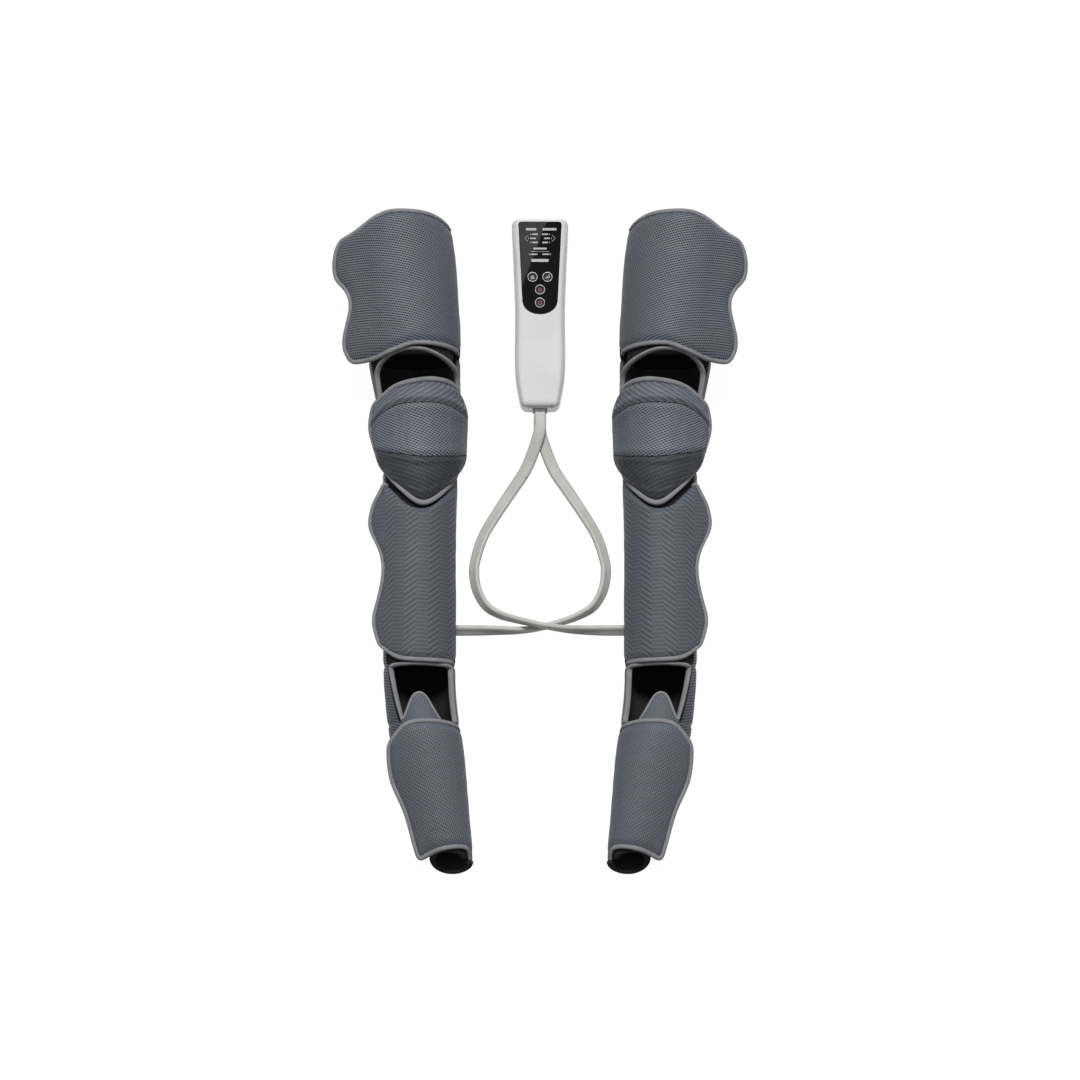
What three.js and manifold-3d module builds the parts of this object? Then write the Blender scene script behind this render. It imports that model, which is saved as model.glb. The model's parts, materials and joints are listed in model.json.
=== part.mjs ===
// A pair of air compression boots with their handset, lying as on a table.
// Millimetres. X runs across the pair, Y from the toes to the thighs, Z up from the surface.
import * as THREE from 'three';
import Module from 'manifold-3d';
import { mergeVertices } from 'three/addons/utils/BufferGeometryUtils.js';

const wasm = await Module();
wasm.setup();

// Zones of one boot, from the toes upwards
const footLength = 201;
const ankleLength = 82;
const calfLength = 277;
const kneeLength = 159;
const thighLength = 213;
const calfStart = footLength + ankleLength;
const kneeStart = calfStart + calfLength;
const thighStart = kneeStart + kneeLength;
const bootLength = thighStart + thighLength;

// Girths: distance of the middle from the pair's midline, half the width and the height
const toeGirth = { centre: 122.5, half: 32, height: 52 };
const instepGirth = { centre: 158.5, half: 53, height: 84 };
const ankleGirth = { centre: 169, half: 54, height: 88 };
const shinGirth = { centre: 171, half: 54.6, height: 98 };
const calfGirth = { centre: 171, half: 54.6, height: 104 };
const kneeGirth = { centre: 172, half: 60, height: 106 };
const lowThighGirth = { centre: 179.5, half: 69, height: 128 };
const midThighGirth = { centre: 189, half: 74, height: 136 };
const topThighGirth = { centre: 203, half: 76, height: 140 };
const instepShare = 0.83;
const shinShare = 0.2;
const calfShare = 0.75;
const kneeShare = 0.4;
const midThighShare = 0.48;
const axisShare = 0.46;

// Layers of a wrap, from the lining outwards
const backThickness = 6;
const flapThickness = 7;
const flapEdge = 4;
const layerGap = 1.1;
const liningGap = 0.8;
const seamGap = 0.35;
const foldGap = 0.9;
const bindingWidth = 5;
const bindingProud = 1;
const padThickness = 18;
const padEdge = 7;
const padDome = 5;
const padSeamDepth = 2.5;
const innerWingTurn = 18;
const turnStep = 18;
const straightTurn = 125;
const fullTurn = 360;

const radians = THREE.MathUtils.degToRad;
const clamp = THREE.MathUtils.clamp;
const lerp = THREE.MathUtils.lerp;
const flapDepth = backThickness + layerGap;
const layers = flapDepth + flapThickness;

// A value read smoothly from rows of [place, value]
function smooth(rows, place) {
  const last = rows.length - 1;
  let k = 0;
  while (k < last - 1 && place > rows[k + 1][0]) k++;
  const slope = (i) => {
    const before = rows[Math.max(i - 1, 0)];
    const after = rows[Math.min(i + 1, last)];
    return (after[1] - before[1]) / (after[0] - before[0]);
  };
  const span = rows[k + 1][0] - rows[k][0];
  const t = clamp((place - rows[k][0]) / span, 0, 1);
  const rise = rows[k + 1][1] - rows[k][1];
  const start = slope(k) * span;
  const end = slope(k + 1) * span;
  return rows[k][1] + start * t + (3 * rise - 2 * start - end) * t ** 2 + (start + end - 2 * rise) * t ** 3;
}

const girths = [
  [0, toeGirth],
  [footLength * instepShare, instepGirth],
  [footLength + ankleLength / 2, ankleGirth],
  [calfStart + calfLength * shinShare, shinGirth],
  [calfStart + calfLength * calfShare, calfGirth],
  [kneeStart + kneeLength * kneeShare, kneeGirth],
  [thighStart, lowThighGirth],
  [thighStart + thighLength * midThighShare, midThighGirth],
  [bootLength, topThighGirth],
];
const girthRows = (key) => girths.map(([at, girth]) => [at, girth[key]]);
const centreRows = girthRows('centre');
const halfRows = girthRows('half');
const heightRows = girthRows('height');

// The oval of the lining at a station: its middle and its two radii
function oval(station) {
  const height = smooth(heightRows, station);
  return {
    x: -smooth(centreRows, station),
    z: height * axisShare,
    a: smooth(halfRows, station) - layers,
    b: height * (1 - axisShare) - layers,
  };
}

// A wrap winds in a spiral: level under the flap, then out to the flap's own layer at the fold
function windOut(turn) {
  return THREE.MathUtils.smoothstep(turn, fullTurn / 2, fullTurn) * flapDepth;
}

const along = (station) => station - bootLength / 2;

// A point of a back panel, by station, turn in degrees from the inner side and depth from the lining
function backPoint(station, turn, depth) {
  const { x, z, a, b } = oval(station);
  const out = depth + windOut(turn);
  const angle = radians(turn);
  const height = z + (b + out) * Math.sin(angle);
  return [x + (a + out) * Math.cos(angle), along(station), Math.max(height, backThickness - depth)];
}

// A point of a flap, by station, length over from the fold and depth; past the straight turn it runs on flat
function flapPoint(station, over, depth) {
  const { x, z, a, b } = oval(station);
  const radius = (a + b) / 2 + layers;
  const angle = Math.min(over / radius, radians(straightTurn));
  const past = over - angle * radius;
  const way = new THREE.Vector2(-a * Math.sin(angle), b * Math.cos(angle)).setLength(past);
  return [
    x + (a + depth) * Math.cos(angle) + way.x,
    along(station),
    z + (b + depth) * Math.sin(angle) + way.y,
  ];
}

// The length over at which a flap stands out past the boot's outer side by an overhang
function reach(station, overhang) {
  const { a, b } = oval(station);
  const angle = radians(straightTurn);
  const way = new THREE.Vector2(-a * Math.sin(angle), b * Math.cos(angle)).normalize();
  const past = (-(a + layers + overhang) - (a + layers) * Math.cos(angle)) / way.x;
  return angle * ((a + b) / 2 + layers) + past;
}

// A closed body through rings of points, with flat ends
function loft(rings) {
  const sides = rings[0].length;
  const index = [];
  const quad = (a, b, c, d) => index.push(a, b, c, a, c, d);
  for (let k = 0; k < rings.length - 1; k++) {
    const here = k * sides;
    for (let i = 0; i < sides; i++) {
      const j = (i + 1) % sides;
      quad(here + i, here + j, here + sides + j, here + sides + i);
    }
  }
  const end = (rings.length - 1) * sides;
  for (let i = 0; i < sides / 2 - 1; i++) {
    quad(sides - 1 - i, sides - 2 - i, i + 1, i);
    quad(end + i, end + i + 1, end + sides - 2 - i, end + sides - 1 - i);
  }
  const geometry = new THREE.BufferGeometry();
  geometry.setAttribute('position', new THREE.Float32BufferAttribute(rings.flat(2), 3));
  geometry.setIndex(index);
  return outward(geometry);
}

// Turns a closed body's faces outwards
function outward(geometry) {
  const at = geometry.attributes.position;
  const index = geometry.index?.array ?? Array.from({ length: at.count }, (_, k) => k);
  const corner = (k) => new THREE.Vector3().fromBufferAttribute(at, index[k]);
  let volume = 0;
  for (let k = 0; k < index.length; k += 3) volume += corner(k).dot(corner(k + 1).cross(corner(k + 2)));
  if (volume < 0) geometry.setIndex(Array.from(index).reverse());
  return geometry;
}

// A plate over a grid of columns and rows, between two faces
function plate(columns, rows, inner, outer) {
  const count = (n) => [...Array(n + 1).keys()];
  return loft(count(rows).map((row) => [
    ...count(columns).map((column) => inner(column, row)),
    ...count(columns).reverse().map((column) => outer(column, row)),
  ]));
}

const solid = (geometry) => {
  const bare = geometry.clone();
  bare.deleteAttribute('normal');
  bare.deleteAttribute('uv');
  const merged = mergeVertices(bare);
  return new wasm.Manifold(new wasm.Mesh({
    numProp: 3,
    vertProperties: new Float32Array(merged.attributes.position.array),
    triVerts: new Uint32Array(merged.index.array),
  }));
};

const shape = (body) => {
  const mesh = body.getMesh();
  const geometry = new THREE.BufferGeometry();
  geometry.setAttribute('position', new THREE.Float32BufferAttribute(mesh.vertProperties, 3));
  geometry.setIndex(Array.from(mesh.triVerts));
  return geometry;
};

const finish = (color, roughness, metalness = 0) =>
  new THREE.MeshStandardMaterial({ color, roughness, metalness });
const meshFabric = () => finish(0x4a525e, 0.9);
const liningFabric = () => finish(0x17181a, 0.95);
const edgeTape = () => finish(0x84848c, 0.85);
const bladderFilm = () => finish(0x2a2c30, 0.6);
const whiteGloss = () => finish(0xeeeeee, 0.2);
const blackGlass = () => finish(0x101012, 0.08);
const hoseRubber = () => finish(0xaaaca5, 0.5);
const greyPlastic = () => finish(0x8c8e90, 0.5);

function named(name, geometry, material) {
  const mesh = new THREE.Mesh(geometry, material);
  mesh.name = name;
  return mesh;
}

// The rims of the open ends, by turn
const toeSetback = 24;
const crownSetback = 15;
const innerSetback = 15;
const outerSetback = 40;
const levelAt = (station) => () => station;
const toeRim = (turn) => toeSetback * (1 + Math.sin(radians(turn))) / 2;

function thighRim(turn) {
  const across = Math.cos(radians(turn));
  const setback = across > 0 ? innerSetback * across ** 4 : outerSetback * across ** 2;
  return bootLength - crownSetback * (1 + Math.sin(radians(turn))) / 2 - setback;
}

// A back panel between two rims, from a first turn round underneath to a last one
function backPanel({ from, to, firstTurn, lastTurn, rows, inner = 0, outer = backThickness }) {
  const columns = Math.round((lastTurn(0) - firstTurn(0)) / turnStep);
  const face = (depth) => (column, row) => {
    const share = row / rows;
    const turn = lerp(firstTurn(share), lastTurn(share), column / columns);
    return backPoint(lerp(from(turn), to(turn), share), turn, depth);
  };
  return plate(columns, rows, face(inner), face(outer));
}

// The grid of a flap in the flat: rows of [over, station], between the fold and the free edge
function flapGrid({ curves, bands, columns, overhang, depth, freeShares }) {
  const grid = [];
  const stationAt = (curve, column) => smooth(curve, column / columns);
  const lowest = stationAt(curves[0], columns);
  const highest = stationAt(curves[curves.length - 1], columns);
  curves.slice(1).forEach((curve, band) => {
    const first = band === 0 ? 0 : 1;
    for (let row = first; row <= bands[band]; row++) {
      const stations = [...Array(columns + 1).keys()].map((column) =>
        lerp(stationAt(curves[band], column), stationAt(curve, column), row / bands[band]));
      const free = stations[columns];
      const share = smooth(freeShares, (free - lowest) / (highest - lowest));
      const width = reach(free, overhang - depth * (1 - share));
      grid.push(stations.map((station, column) => [width * column / columns, station]));
    }
  });
  return grid;
}

// The outline of a grid: bottom edge, free edge, top edge
function outlineOf(grid) {
  const top = grid.length - 1;
  const columns = grid[0].length - 1;
  return [
    ...grid[0].map((point, column) => ({ point, row: 0, column })),
    ...grid.slice(1, top).map((line, row) => ({ point: line[columns], row: row + 1, column: columns })),
    ...grid[top].map((point, column) => ({ point, row: top, column })).reverse(),
  ];
}

// A line in the flat moved inwards by a distance, with mitred corners
function inset(line, distance) {
  const vectors = line.map((p) => new THREE.Vector2(...p));
  const sideways = (k) => {
    const way = vectors[k + 1].clone().sub(vectors[k]).normalize();
    return new THREE.Vector2(-way.y, way.x);
  };
  return vectors.map((point, k) => {
    const before = sideways(Math.max(k - 1, 0));
    const after = sideways(Math.min(k, vectors.length - 2));
    const mitre = before.clone().add(after).divideScalar(1 + before.dot(after));
    const moved = point.clone().addScaledVector(mitre, distance);
    const atFold = k === 0 || k === vectors.length - 1;
    return [atFold ? point.x : moved.x, moved.y];
  });
}

// A strip of tape along a line in the flat
function tape(line, inner, outer, point) {
  const within = inset(line, bindingWidth);
  return loft(line.map((edge, k) => [
    point(within[k][1], within[k][0], inner),
    point(edge[1], edge[0], inner),
    point(edge[1], edge[0], outer),
    point(within[k][1], within[k][0], outer),
  ]));
}

const crownShares = [0, 0.75, 1];

// A padded flap and its edge tape
function flapAndTape(spec) {
  const grid = flapGrid(spec).map((line) => line.map(([over, station]) => [over + foldGap, station]));
  const outline = outlineOf(grid);
  const line = outline.map(({ point }) => point);
  inset(line, bindingWidth + seamGap).forEach((point, k) => {
    grid[outline[k].row][outline[k].column] = point;
  });
  const rows = grid.length - 1;
  const { columns, edge, thickness } = spec;
  const seamRows = spec.seamRows ?? [];
  const fill = (column, row) => {
    const cells = Math.min(row, rows - row, columns - column);
    const seam = seamRows.includes(row) ? padSeamDepth : 0;
    const dome = (spec.dome ?? 0) * Math.sin(Math.PI * row / rows) * Math.sin(Math.PI * column / columns);
    return lerp(edge, thickness + dome - seam, crownShares[Math.min(cells, 2)]);
  };
  const at = (column, row, depth) => flapPoint(grid[row][column][1], grid[row][column][0], depth);
  return {
    flap: plate(columns, rows,
      (column, row) => at(column, row, flapDepth),
      (column, row) => at(column, row, flapDepth + fill(column, row))),
    binding: tape(line, flapDepth, flapDepth + edge + bindingProud, flapPoint),
  };
}

// A curve over a flap: its shares of the width, with its place between two stations
const curveBetween = (low, high, shares) => shares.map(([over, up]) => [over, lerp(low, high, up)]);

// The thigh flap
const thighFlapLift = 6;
const thighFlapStart = thighStart + thighFlapLift;
const thighOverhang = 24;
const thighScallop = 16;
const thighFreeTurn = 168;
const thighBottomShares = [[0, 0], [0.5, 0], [0.6, -0.03], [0.69, -0.053], [0.81, -0.083], [1, -0.085]];
const thighFreeShares = [
  [0, 0.75], [0.11, 1.2], [0.19, 1.17], [0.27, 0.89], [0.36, 0.49], [0.45, 0.13], [0.53, 0.13], [0.6, 0.43],
  [0.68, 1.1], [0.76, 1.16], [0.84, 1.04], [0.92, 0.74], [1, 0.2],
];
const thighColumns = 12;
const thighTopCurve = [...Array(thighColumns + 1).keys()].map((column) => {
  const share = column / thighColumns;
  return [share, thighRim(share * thighFreeTurn)];
});
const thighFlapSpec = {
  curves: [curveBetween(thighFlapStart, bootLength, thighBottomShares), thighTopCurve],
  bands: [12],
  columns: thighColumns,
  overhang: thighOverhang,
  depth: thighScallop,
  freeShares: thighFreeShares,
  edge: flapEdge,
  thickness: flapThickness,
};

// The knee pad, in three sewn panels
const padStart = 500;
const padEnd = 684;
const padOverhang = 8.5;
const padDrawIn = 12;
const padTipShare = 0.52;
const padBottomShares = [[0, 0.31], [0.22, 0.16], [padTipShare, 0], [0.78, 0.14], [1, 0.33]];
const padLowSeamShares = [[0, 0.45], [0.5, 0.35], [1, 0.48]];
const padHighSeamShares = [[0, 0.74], [0.45, 0.785], [1, 0.68]];
const padTopShares = [[0, 0.9], [0.2, 0.97], [0.42, 0.985], [0.6, 0.965], [0.8, 0.92], [1, 0.81]];
const padFreeShares = [[0, 0.05], [0.3, 0.6], [0.65, 1], [1, 0.3]];
const padBands = [2, 4, 2];
const padSpec = {
  curves: [padBottomShares, padLowSeamShares, padHighSeamShares, padTopShares]
    .map((shares) => curveBetween(padStart, padEnd, shares)),
  bands: padBands,
  columns: 12,
  overhang: padOverhang,
  depth: padDrawIn,
  freeShares: padFreeShares,
  edge: padEdge,
  thickness: padThickness,
  dome: padDome,
  seamRows: [padBands[0], padBands[0] + padBands[1]],
};

// The calf flap, cut clear of the knee pad's tip
const calfFlapLift = 2;
const calfPadGap = 7;
const padSweepShare = 0.14;
const calfFlapDrop = 6;
const calfFlapEnd = kneeStart - calfFlapDrop;
const calfOverhang = 14;
const calfScallop = 22;
const calfFlapStart = calfStart + calfFlapLift;
const calfBottomShares = [[0, 0], [0.72, 0], [1, 0.085]];
const calfFreeShares = [
  [0, 0.4], [0.16, 0.78], [0.3, 0.5], [0.45, 0.3], [0.57, 0.42], [0.73, 1.05], [0.86, 0.82], [0.93, 0.4], [1, 0],
];
const calfTopReach = reach(calfFlapEnd, calfOverhang - calfScallop * (1 - calfFreeShares.at(-1)[1]));
const padLowCurve = curveBetween(padStart, padEnd, padBottomShares);
const padLowReach = reach(padLowCurve[4][1], padOverhang - padDrawIn * (1 - padFreeShares[0][1]));
const calfColumns = 12;
const calfTopCurve = [...Array(calfColumns + 1).keys()].map((column) => {
  const share = column / calfColumns;
  const padShare = Math.min(share * calfTopReach / padLowReach, 1);
  const swept = clamp(padShare - padSweepShare, Math.min(padShare, padTipShare), 1);
  return [share, Math.min(smooth(padLowCurve, swept) - calfPadGap, calfFlapEnd)];
});
const calfFlapSpec = {
  curves: [curveBetween(calfFlapStart, calfFlapEnd, calfBottomShares), calfTopCurve],
  bands: [12],
  columns: calfColumns,
  overhang: calfOverhang,
  depth: calfScallop,
  freeShares: calfFreeShares,
  edge: flapEdge,
  thickness: flapThickness,
};

// The foot flap
const footFlapDrop = 1;
const footFlapEnd = footLength - footFlapDrop;
const footOverhang = 12;
const footScallop = 12;
const footBottomShares = [[0, 0.08], [0.15, 0.14], [0.7, 0.11], [1, 0.05]];
const footTopShares = [[0, 1], [0.72, 1], [1, 0.86]];
const footFreeShares = [[0, 1.05], [0.2, 0.85], [0.42, 0.62], [0.7, 0.95], [1, 0.1]];
const footFlapSpec = {
  curves: [footBottomShares, footTopShares].map((shares) => curveBetween(0, footFlapEnd, shares)),
  bands: [7],
  columns: 10,
  overhang: footOverhang,
  depth: footScallop,
  freeShares: footFreeShares,
  edge: flapEdge,
  thickness: flapThickness,
};

// The ankle opening and its tongue
const openingOuterLowTurn = 132;
const openingOuterHighTurn = 150;
const openingInnerTurn = 18;
const openingSlopeTurn = 60;
const openingGap = 0.9;
const tongueLength = 36;
const tongueThickness = 3;
const tongueFirstTurn = 52;
const tongueLastTurn = 122;
const tongueTipShare = 0.12;
const tongueShoulderShare = 0.55;

function tongue() {
  const columns = 6;
  const rows = 4;
  const middle = (tongueFirstTurn + tongueLastTurn) / 2;
  const widthRows = [[0, 1], [0.6, tongueShoulderShare], [1, tongueTipShare]];
  const face = (depth) => (column, row) => {
    const spread = smooth(widthRows, row / rows) * (tongueLastTurn - tongueFirstTurn) / 2;
    const turn = middle + spread * (2 * column / columns - 1);
    return backPoint(footLength + seamGap + tongueLength * row / rows, turn, depth);
  };
  return plate(columns, rows, face(0), face(tongueThickness));
}

// The tape round the ankle opening, from the foot up one side, over and down the other
function ankleTape() {
  const low = footLength + seamGap;
  const high = calfStart - seamGap;
  const { a, b } = oval((low + high) / 2);
  const perTurn = radians((a + b) / 2 + backThickness);
  const steps = 6;
  const count = [...Array(steps + 1).keys()];
  const inner = openingInnerTurn * perTurn + seamGap;
  const outerAt = (share) => lerp(openingOuterLowTurn, openingOuterHighTurn, share) * perTurn - openingGap;
  const side = (overAt) => count.map((k) => [overAt(k / steps), lerp(low, high, k / steps)]);
  const across = count.slice(1, -1).map((k) => [lerp(outerAt(1), inner, k / steps), high]);
  const line = [...side(outerAt), ...across, ...side(() => inner).reverse()];
  const point = (station, over, depth) => {
    const turn = over / perTurn;
    const rise = 1 - THREE.MathUtils.smoothstep(turn, openingInnerTurn, openingSlopeTurn);
    return backPoint(station, turn, depth + flapDepth * rise);
  };
  return tape(line, 0, backThickness + bindingProud, point);
}

// Air chambers, heater and hook strips
const bladderThickness = 7;
const bladderFirstTurn = 198;
const bladderLastTurn = 342;
const thighBladderInset = 20;
const thighBladderLength = 130;
const calfBladderInset = 30;
const footBladderStart = 40;
const footBladderInset = 30;
const heaterThickness = 2.5;
const heaterFirstTurn = 54;
const heaterLastTurn = 126;
const heaterLowInset = 70;
const heaterHighInset = 45;
const patchThickness = 1.2;
const patchFirstTurn = 144;
const patchLastTurn = 180;
const calfPatchTopInset = 60;
const kneeFirstTurn = 162;
const fixedTurn = (turn) => () => turn;

function bladder(start, end) {
  return backPanel({
    from: levelAt(start), to: levelAt(end),
    firstTurn: fixedTurn(bladderFirstTurn), lastTurn: fixedTurn(bladderLastTurn),
    rows: 3, inner: -liningGap - bladderThickness, outer: -liningGap,
  });
}

function hookPatch(start, end) {
  return backPanel({
    from: levelAt(start), to: levelAt(end),
    firstTurn: fixedTurn(patchFirstTurn), lastTurn: fixedTurn(patchLastTurn),
    rows: 3, inner: backThickness + layerGap, outer: backThickness + layerGap + patchThickness,
  });
}

function heater(start, end) {
  return backPanel({
    from: levelAt(start), to: levelAt(end),
    firstTurn: fixedTurn(heaterFirstTurn), lastTurn: fixedTurn(heaterLastTurn),
    rows: 2, inner: flapDepth - layerGap - heaterThickness, outer: flapDepth - layerGap,
  });
}

// The hoses and where they meet the boots
const hoseWidth = 17;
const hoseThickness = 7;
const hoseSteps = 40;
const hoseGap = 0.3;
const fittingStation = 342.6;
const fittingFace = 126;
const fittingWidth = 26;
const fittingHeight = 19;
const fittingInnerTurn = 288;

// The hose entry block, cut to the calf's inner side
function airFitting() {
  const [innerEnd] = backPoint(fittingStation, fittingInnerTurn, backThickness);
  const length = -fittingFace - innerEnd;
  const block = new THREE.BoxGeometry(length, fittingWidth, fittingHeight);
  block.translate(-fittingFace - length / 2, along(fittingStation), fittingHeight / 2);
  const turns = [...Array(fullTurn / turnStep).keys()].map((k) => k * turnStep);
  const calfRing = (station) => turns.map((turn) => {
    const [x, y, z] = backPoint(station, turn || fullTurn, backThickness + hoseGap);
    return [x, y, turn > fullTurn / 2 ? z - hoseGap : z];
  });
  const calf = loft([calfRing(fittingStation - fittingWidth), calfRing(fittingStation + fittingWidth)]);
  return shape(solid(block).subtract(solid(calf)));
}

// One boot, lying with its inner side towards the midline
function boot(prefix) {
  const group = new THREE.Group();
  const add = (name, geometry, material) => group.add(named(`${prefix}_${name}`, geometry, material));
  const firstWing = fixedTurn(innerWingTurn);
  const fold = fixedTurn(fullTurn);
  const thigh = { from: levelAt(thighStart), to: thighRim, firstTurn: firstWing, lastTurn: fold, rows: 5 };
  const knee = {
    from: levelAt(kneeStart + seamGap), to: levelAt(thighStart - seamGap),
    firstTurn: fixedTurn(kneeFirstTurn), lastTurn: fold, rows: 4,
  };
  const calf = { from: levelAt(calfStart), to: levelAt(kneeStart), firstTurn: firstWing, lastTurn: fold, rows: 10 };
  const heel = {
    from: levelAt(footLength + seamGap), to: levelAt(calfStart - seamGap),
    firstTurn: (share) => lerp(openingOuterLowTurn, openingOuterHighTurn, share),
    lastTurn: fixedTurn(fullTurn + openingInnerTurn), rows: 3,
  };
  const foot = { from: toeRim, to: levelAt(footLength), firstTurn: firstWing, lastTurn: fold, rows: 5 };
  for (const [name, spec] of Object.entries({ thigh, knee, calf, heel, foot }))
    add(`${name}_back`, backPanel(spec), meshFabric());
  const flaps = {
    thigh: ['thigh_flap', thighFlapSpec],
    knee: ['knee_pad', padSpec],
    calf: ['calf_flap', calfFlapSpec],
    foot: ['foot_flap', footFlapSpec],
  };
  for (const [zone, [name, spec]] of Object.entries(flaps)) {
    const { flap, binding } = flapAndTape(spec);
    add(name, flap, meshFabric());
    add(`${zone}_binding`, binding, edgeTape());
  }
  add('tongue', tongue(), meshFabric());
  add('ankle_binding', ankleTape(), edgeTape());
  const thighSheetStart = thighStart + thighBladderInset;
  const thighSheetEnd = thighSheetStart + thighBladderLength;
  const calfSheetStart = calfStart + calfBladderInset;
  add('thigh_bladder', bladder(thighSheetStart, thighSheetEnd), bladderFilm());
  add('calf_bladder', bladder(calfSheetStart, kneeStart - calfBladderInset), bladderFilm());
  add('foot_bladder', bladder(footBladderStart, footLength - footBladderInset), bladderFilm());
  add('knee_heater', heater(padStart + heaterLowInset, padEnd - heaterHighInset), liningFabric());
  add('thigh_hook_patch', hookPatch(thighSheetStart, thighSheetEnd), liningFabric());
  add('calf_hook_patch', hookPatch(calfSheetStart, kneeStart - calfPatchTopInset), liningFabric());
  add('air_fitting', airFitting(), greyPlastic());
  return group;
}

// The handset, from its hose end at Y zero to its head, lying on its back
const handsetEnd = 190;
const handsetLength = 275;
const handsetHeight = 42;
const headWidth = 80;
const waistWidth = 71;
const gripWidth = 70;
const tailWidth = 54;
const cornerRadius = 9;
const shellWall = 2.6;
const partingHeight = 21;
const fitGap = 0.3;
const overrun = 40;
const housingBulge = 1.1;
const housingSquareness = 3.4;
const housingSides = 24;
const widthRows = [[0, tailWidth], [0.18, gripWidth], [0.53, waistWidth], [0.95, headWidth], [1, headWidth]];
const bodyShares = [0.1, 0.18, 0.35, 0.53, 0.7, 0.86];
const roundingShares = [0, 0.13, 0.45, 1];

// The housing's outer form, or its hollow when drawn in by a wall
function housing(wall) {
  const radius = cornerRadius - wall;
  const ring = (y, draw) => [...Array(housingSides).keys()].map((k) => {
    const angle = 2 * Math.PI * (k + 0.5) / housingSides;
    const square = (value) => Math.sign(value) * Math.abs(value) ** (2 / housingSquareness);
    const width = smooth(widthRows, y / handsetLength) / 2 - wall - draw;
    const middle = handsetHeight / 2;
    const height = middle + (middle - wall) * housingBulge * square(Math.sin(angle));
    const low = wall + draw;
    return [width * square(Math.cos(angle)), y, clamp(height, low, handsetHeight - low)];
  });
  const ends = roundingShares.map((share) => ({
    in: wall + radius * share,
    draw: radius - Math.sqrt(radius ** 2 - (radius * (1 - share)) ** 2),
  }));
  return loft([
    ...ends.map((end) => ring(end.in, end.draw)),
    ...bodyShares.map((share) => ring(handsetLength * share, 0)),
    ...ends.reverse().map((end) => ring(handsetLength - end.in, end.draw)),
  ]);
}

// The glass panel with its four button holes
const panelTopGap = 6;
const panelLength = 135;
const panelTopWidth = 61;
const panelLowWidth = 50;
const panelCorner = 4;
const panelThickness = 1.6;
const panelProud = 0.3;
const panelRound = 22;
const buttonRadius = 7;
const buttonGap = 0.4;
const buttonFlange = 1.2;
const buttonFlangeHeight = 1.2;
const buttonProud = 0.9;
const buttonDish = 0.4;
const buttonChamfer = 0.6;
const buttonSegments = 14;
const buttonPitch = 21;
const pairFromHead = 87;
const heatFromHead = 105.5;
const powerFromHead = 124.5;
const buttonPlaces = {
  mode_button: [-buttonPitch / 2, handsetLength - pairFromHead],
  pressure_button: [buttonPitch / 2, handsetLength - pairFromHead],
  heat_button: [0, handsetLength - heatFromHead],
  power_button: [0, handsetLength - powerFromHead],
};
const recessFloor = handsetHeight - panelThickness + panelProud - fitGap;
const ceiling = handsetHeight - shellWall;

function panelShape(grow) {
  const top = handsetLength - panelTopGap + grow;
  const low = handsetLength - panelTopGap - panelLength - grow;
  const wide = panelTopWidth / 2 + grow;
  const narrow = panelLowWidth / 2 + grow;
  const outline = new THREE.Shape();
  outline.moveTo(0, top);
  outline.lineTo(wide - panelCorner, top);
  outline.quadraticCurveTo(wide, top, wide, top - panelCorner);
  outline.lineTo(narrow, low + panelRound);
  outline.bezierCurveTo(narrow, low + panelRound / 3, narrow / 2, low, 0, low);
  outline.bezierCurveTo(-narrow / 2, low, -narrow, low + panelRound / 3, -narrow, low + panelRound);
  outline.lineTo(-wide, top - panelCorner);
  outline.quadraticCurveTo(-wide, top, -wide + panelCorner, top);
  return outline;
}

const raised = (outline, low, high) =>
  new THREE.ExtrudeGeometry(outline, { depth: high - low, bevelEnabled: false, curveSegments: 6 }).translate(0, 0, low);

function disc([x, y], radius, low, high, segments = buttonSegments) {
  const cylinder = new THREE.CylinderGeometry(radius, radius, high - low, segments);
  return cylinder.rotateX(Math.PI / 2).translate(x, y, (low + high) / 2);
}

function screenPanel() {
  const low = recessFloor + fitGap;
  let glass = solid(raised(panelShape(0), low, low + panelThickness));
  for (const place of Object.values(buttonPlaces))
    glass = glass.subtract(solid(disc(place, buttonRadius + buttonGap, 0, handsetHeight + overrun)));
  return shape(glass);
}

const buttonFoot = ceiling - fitGap - buttonFlangeHeight;

function button([x, y]) {
  const top = handsetHeight + panelProud + buttonProud;
  const flange = buttonRadius + buttonFlange;
  const profile = [
    [0, buttonFoot], [flange, buttonFoot], [flange, buttonFoot + buttonFlangeHeight],
    [buttonRadius, buttonFoot + buttonFlangeHeight], [buttonRadius, top - buttonChamfer],
    [buttonRadius - buttonChamfer, top], [0, top - buttonDish],
  ].map(([r, z]) => new THREE.Vector2(r, z));
  return new THREE.LatheGeometry(profile, buttonSegments).rotateX(Math.PI / 2).translate(x, y, 0);
}

// What the handset holds
const boardWidth = 52;
const boardLength = 122;
const boardThickness = 1.6;
const boardFromHead = 14;
const switchRadius = 3;
const switchClearance = 1.1;
const switchHeight = 2;
const boardTop = buttonFoot - switchClearance - switchHeight;
const postRadius = 2.5;
const postInset = 5;
const chipSize = 12;
const chipThickness = 2;
const chipFromHead = 40;
const pumpRadius = 15;
const pumpLength = 62;
const pumpStart = 58;
const pumpFoot = 24;
const nippleRadius = 2.5;
const nippleSpread = 6;
const nippleLength = 7;
const valveWidth = 36;
const valveLength = 20;
const valveHeight = 20;
const socketWidth = 21;
const socketHeight = 19;
const socketCorner = 4;
const socketOut = 3;
const socketIn = 14;
const socketMiddle = 21;
const inletRadius = 5.5;
const inletBore = 3;
const inletDepth = 13;
const inletProud = 0.6;
const inletFloor = 3;
const inletSide = 14;
const insideFloor = shellWall + fitGap;

function barrel(x, z, radius, from, to, segments = 12) {
  return new THREE.CylinderGeometry(radius, radius, to - from, segments).translate(x, (from + to) / 2, z);
}

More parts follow.
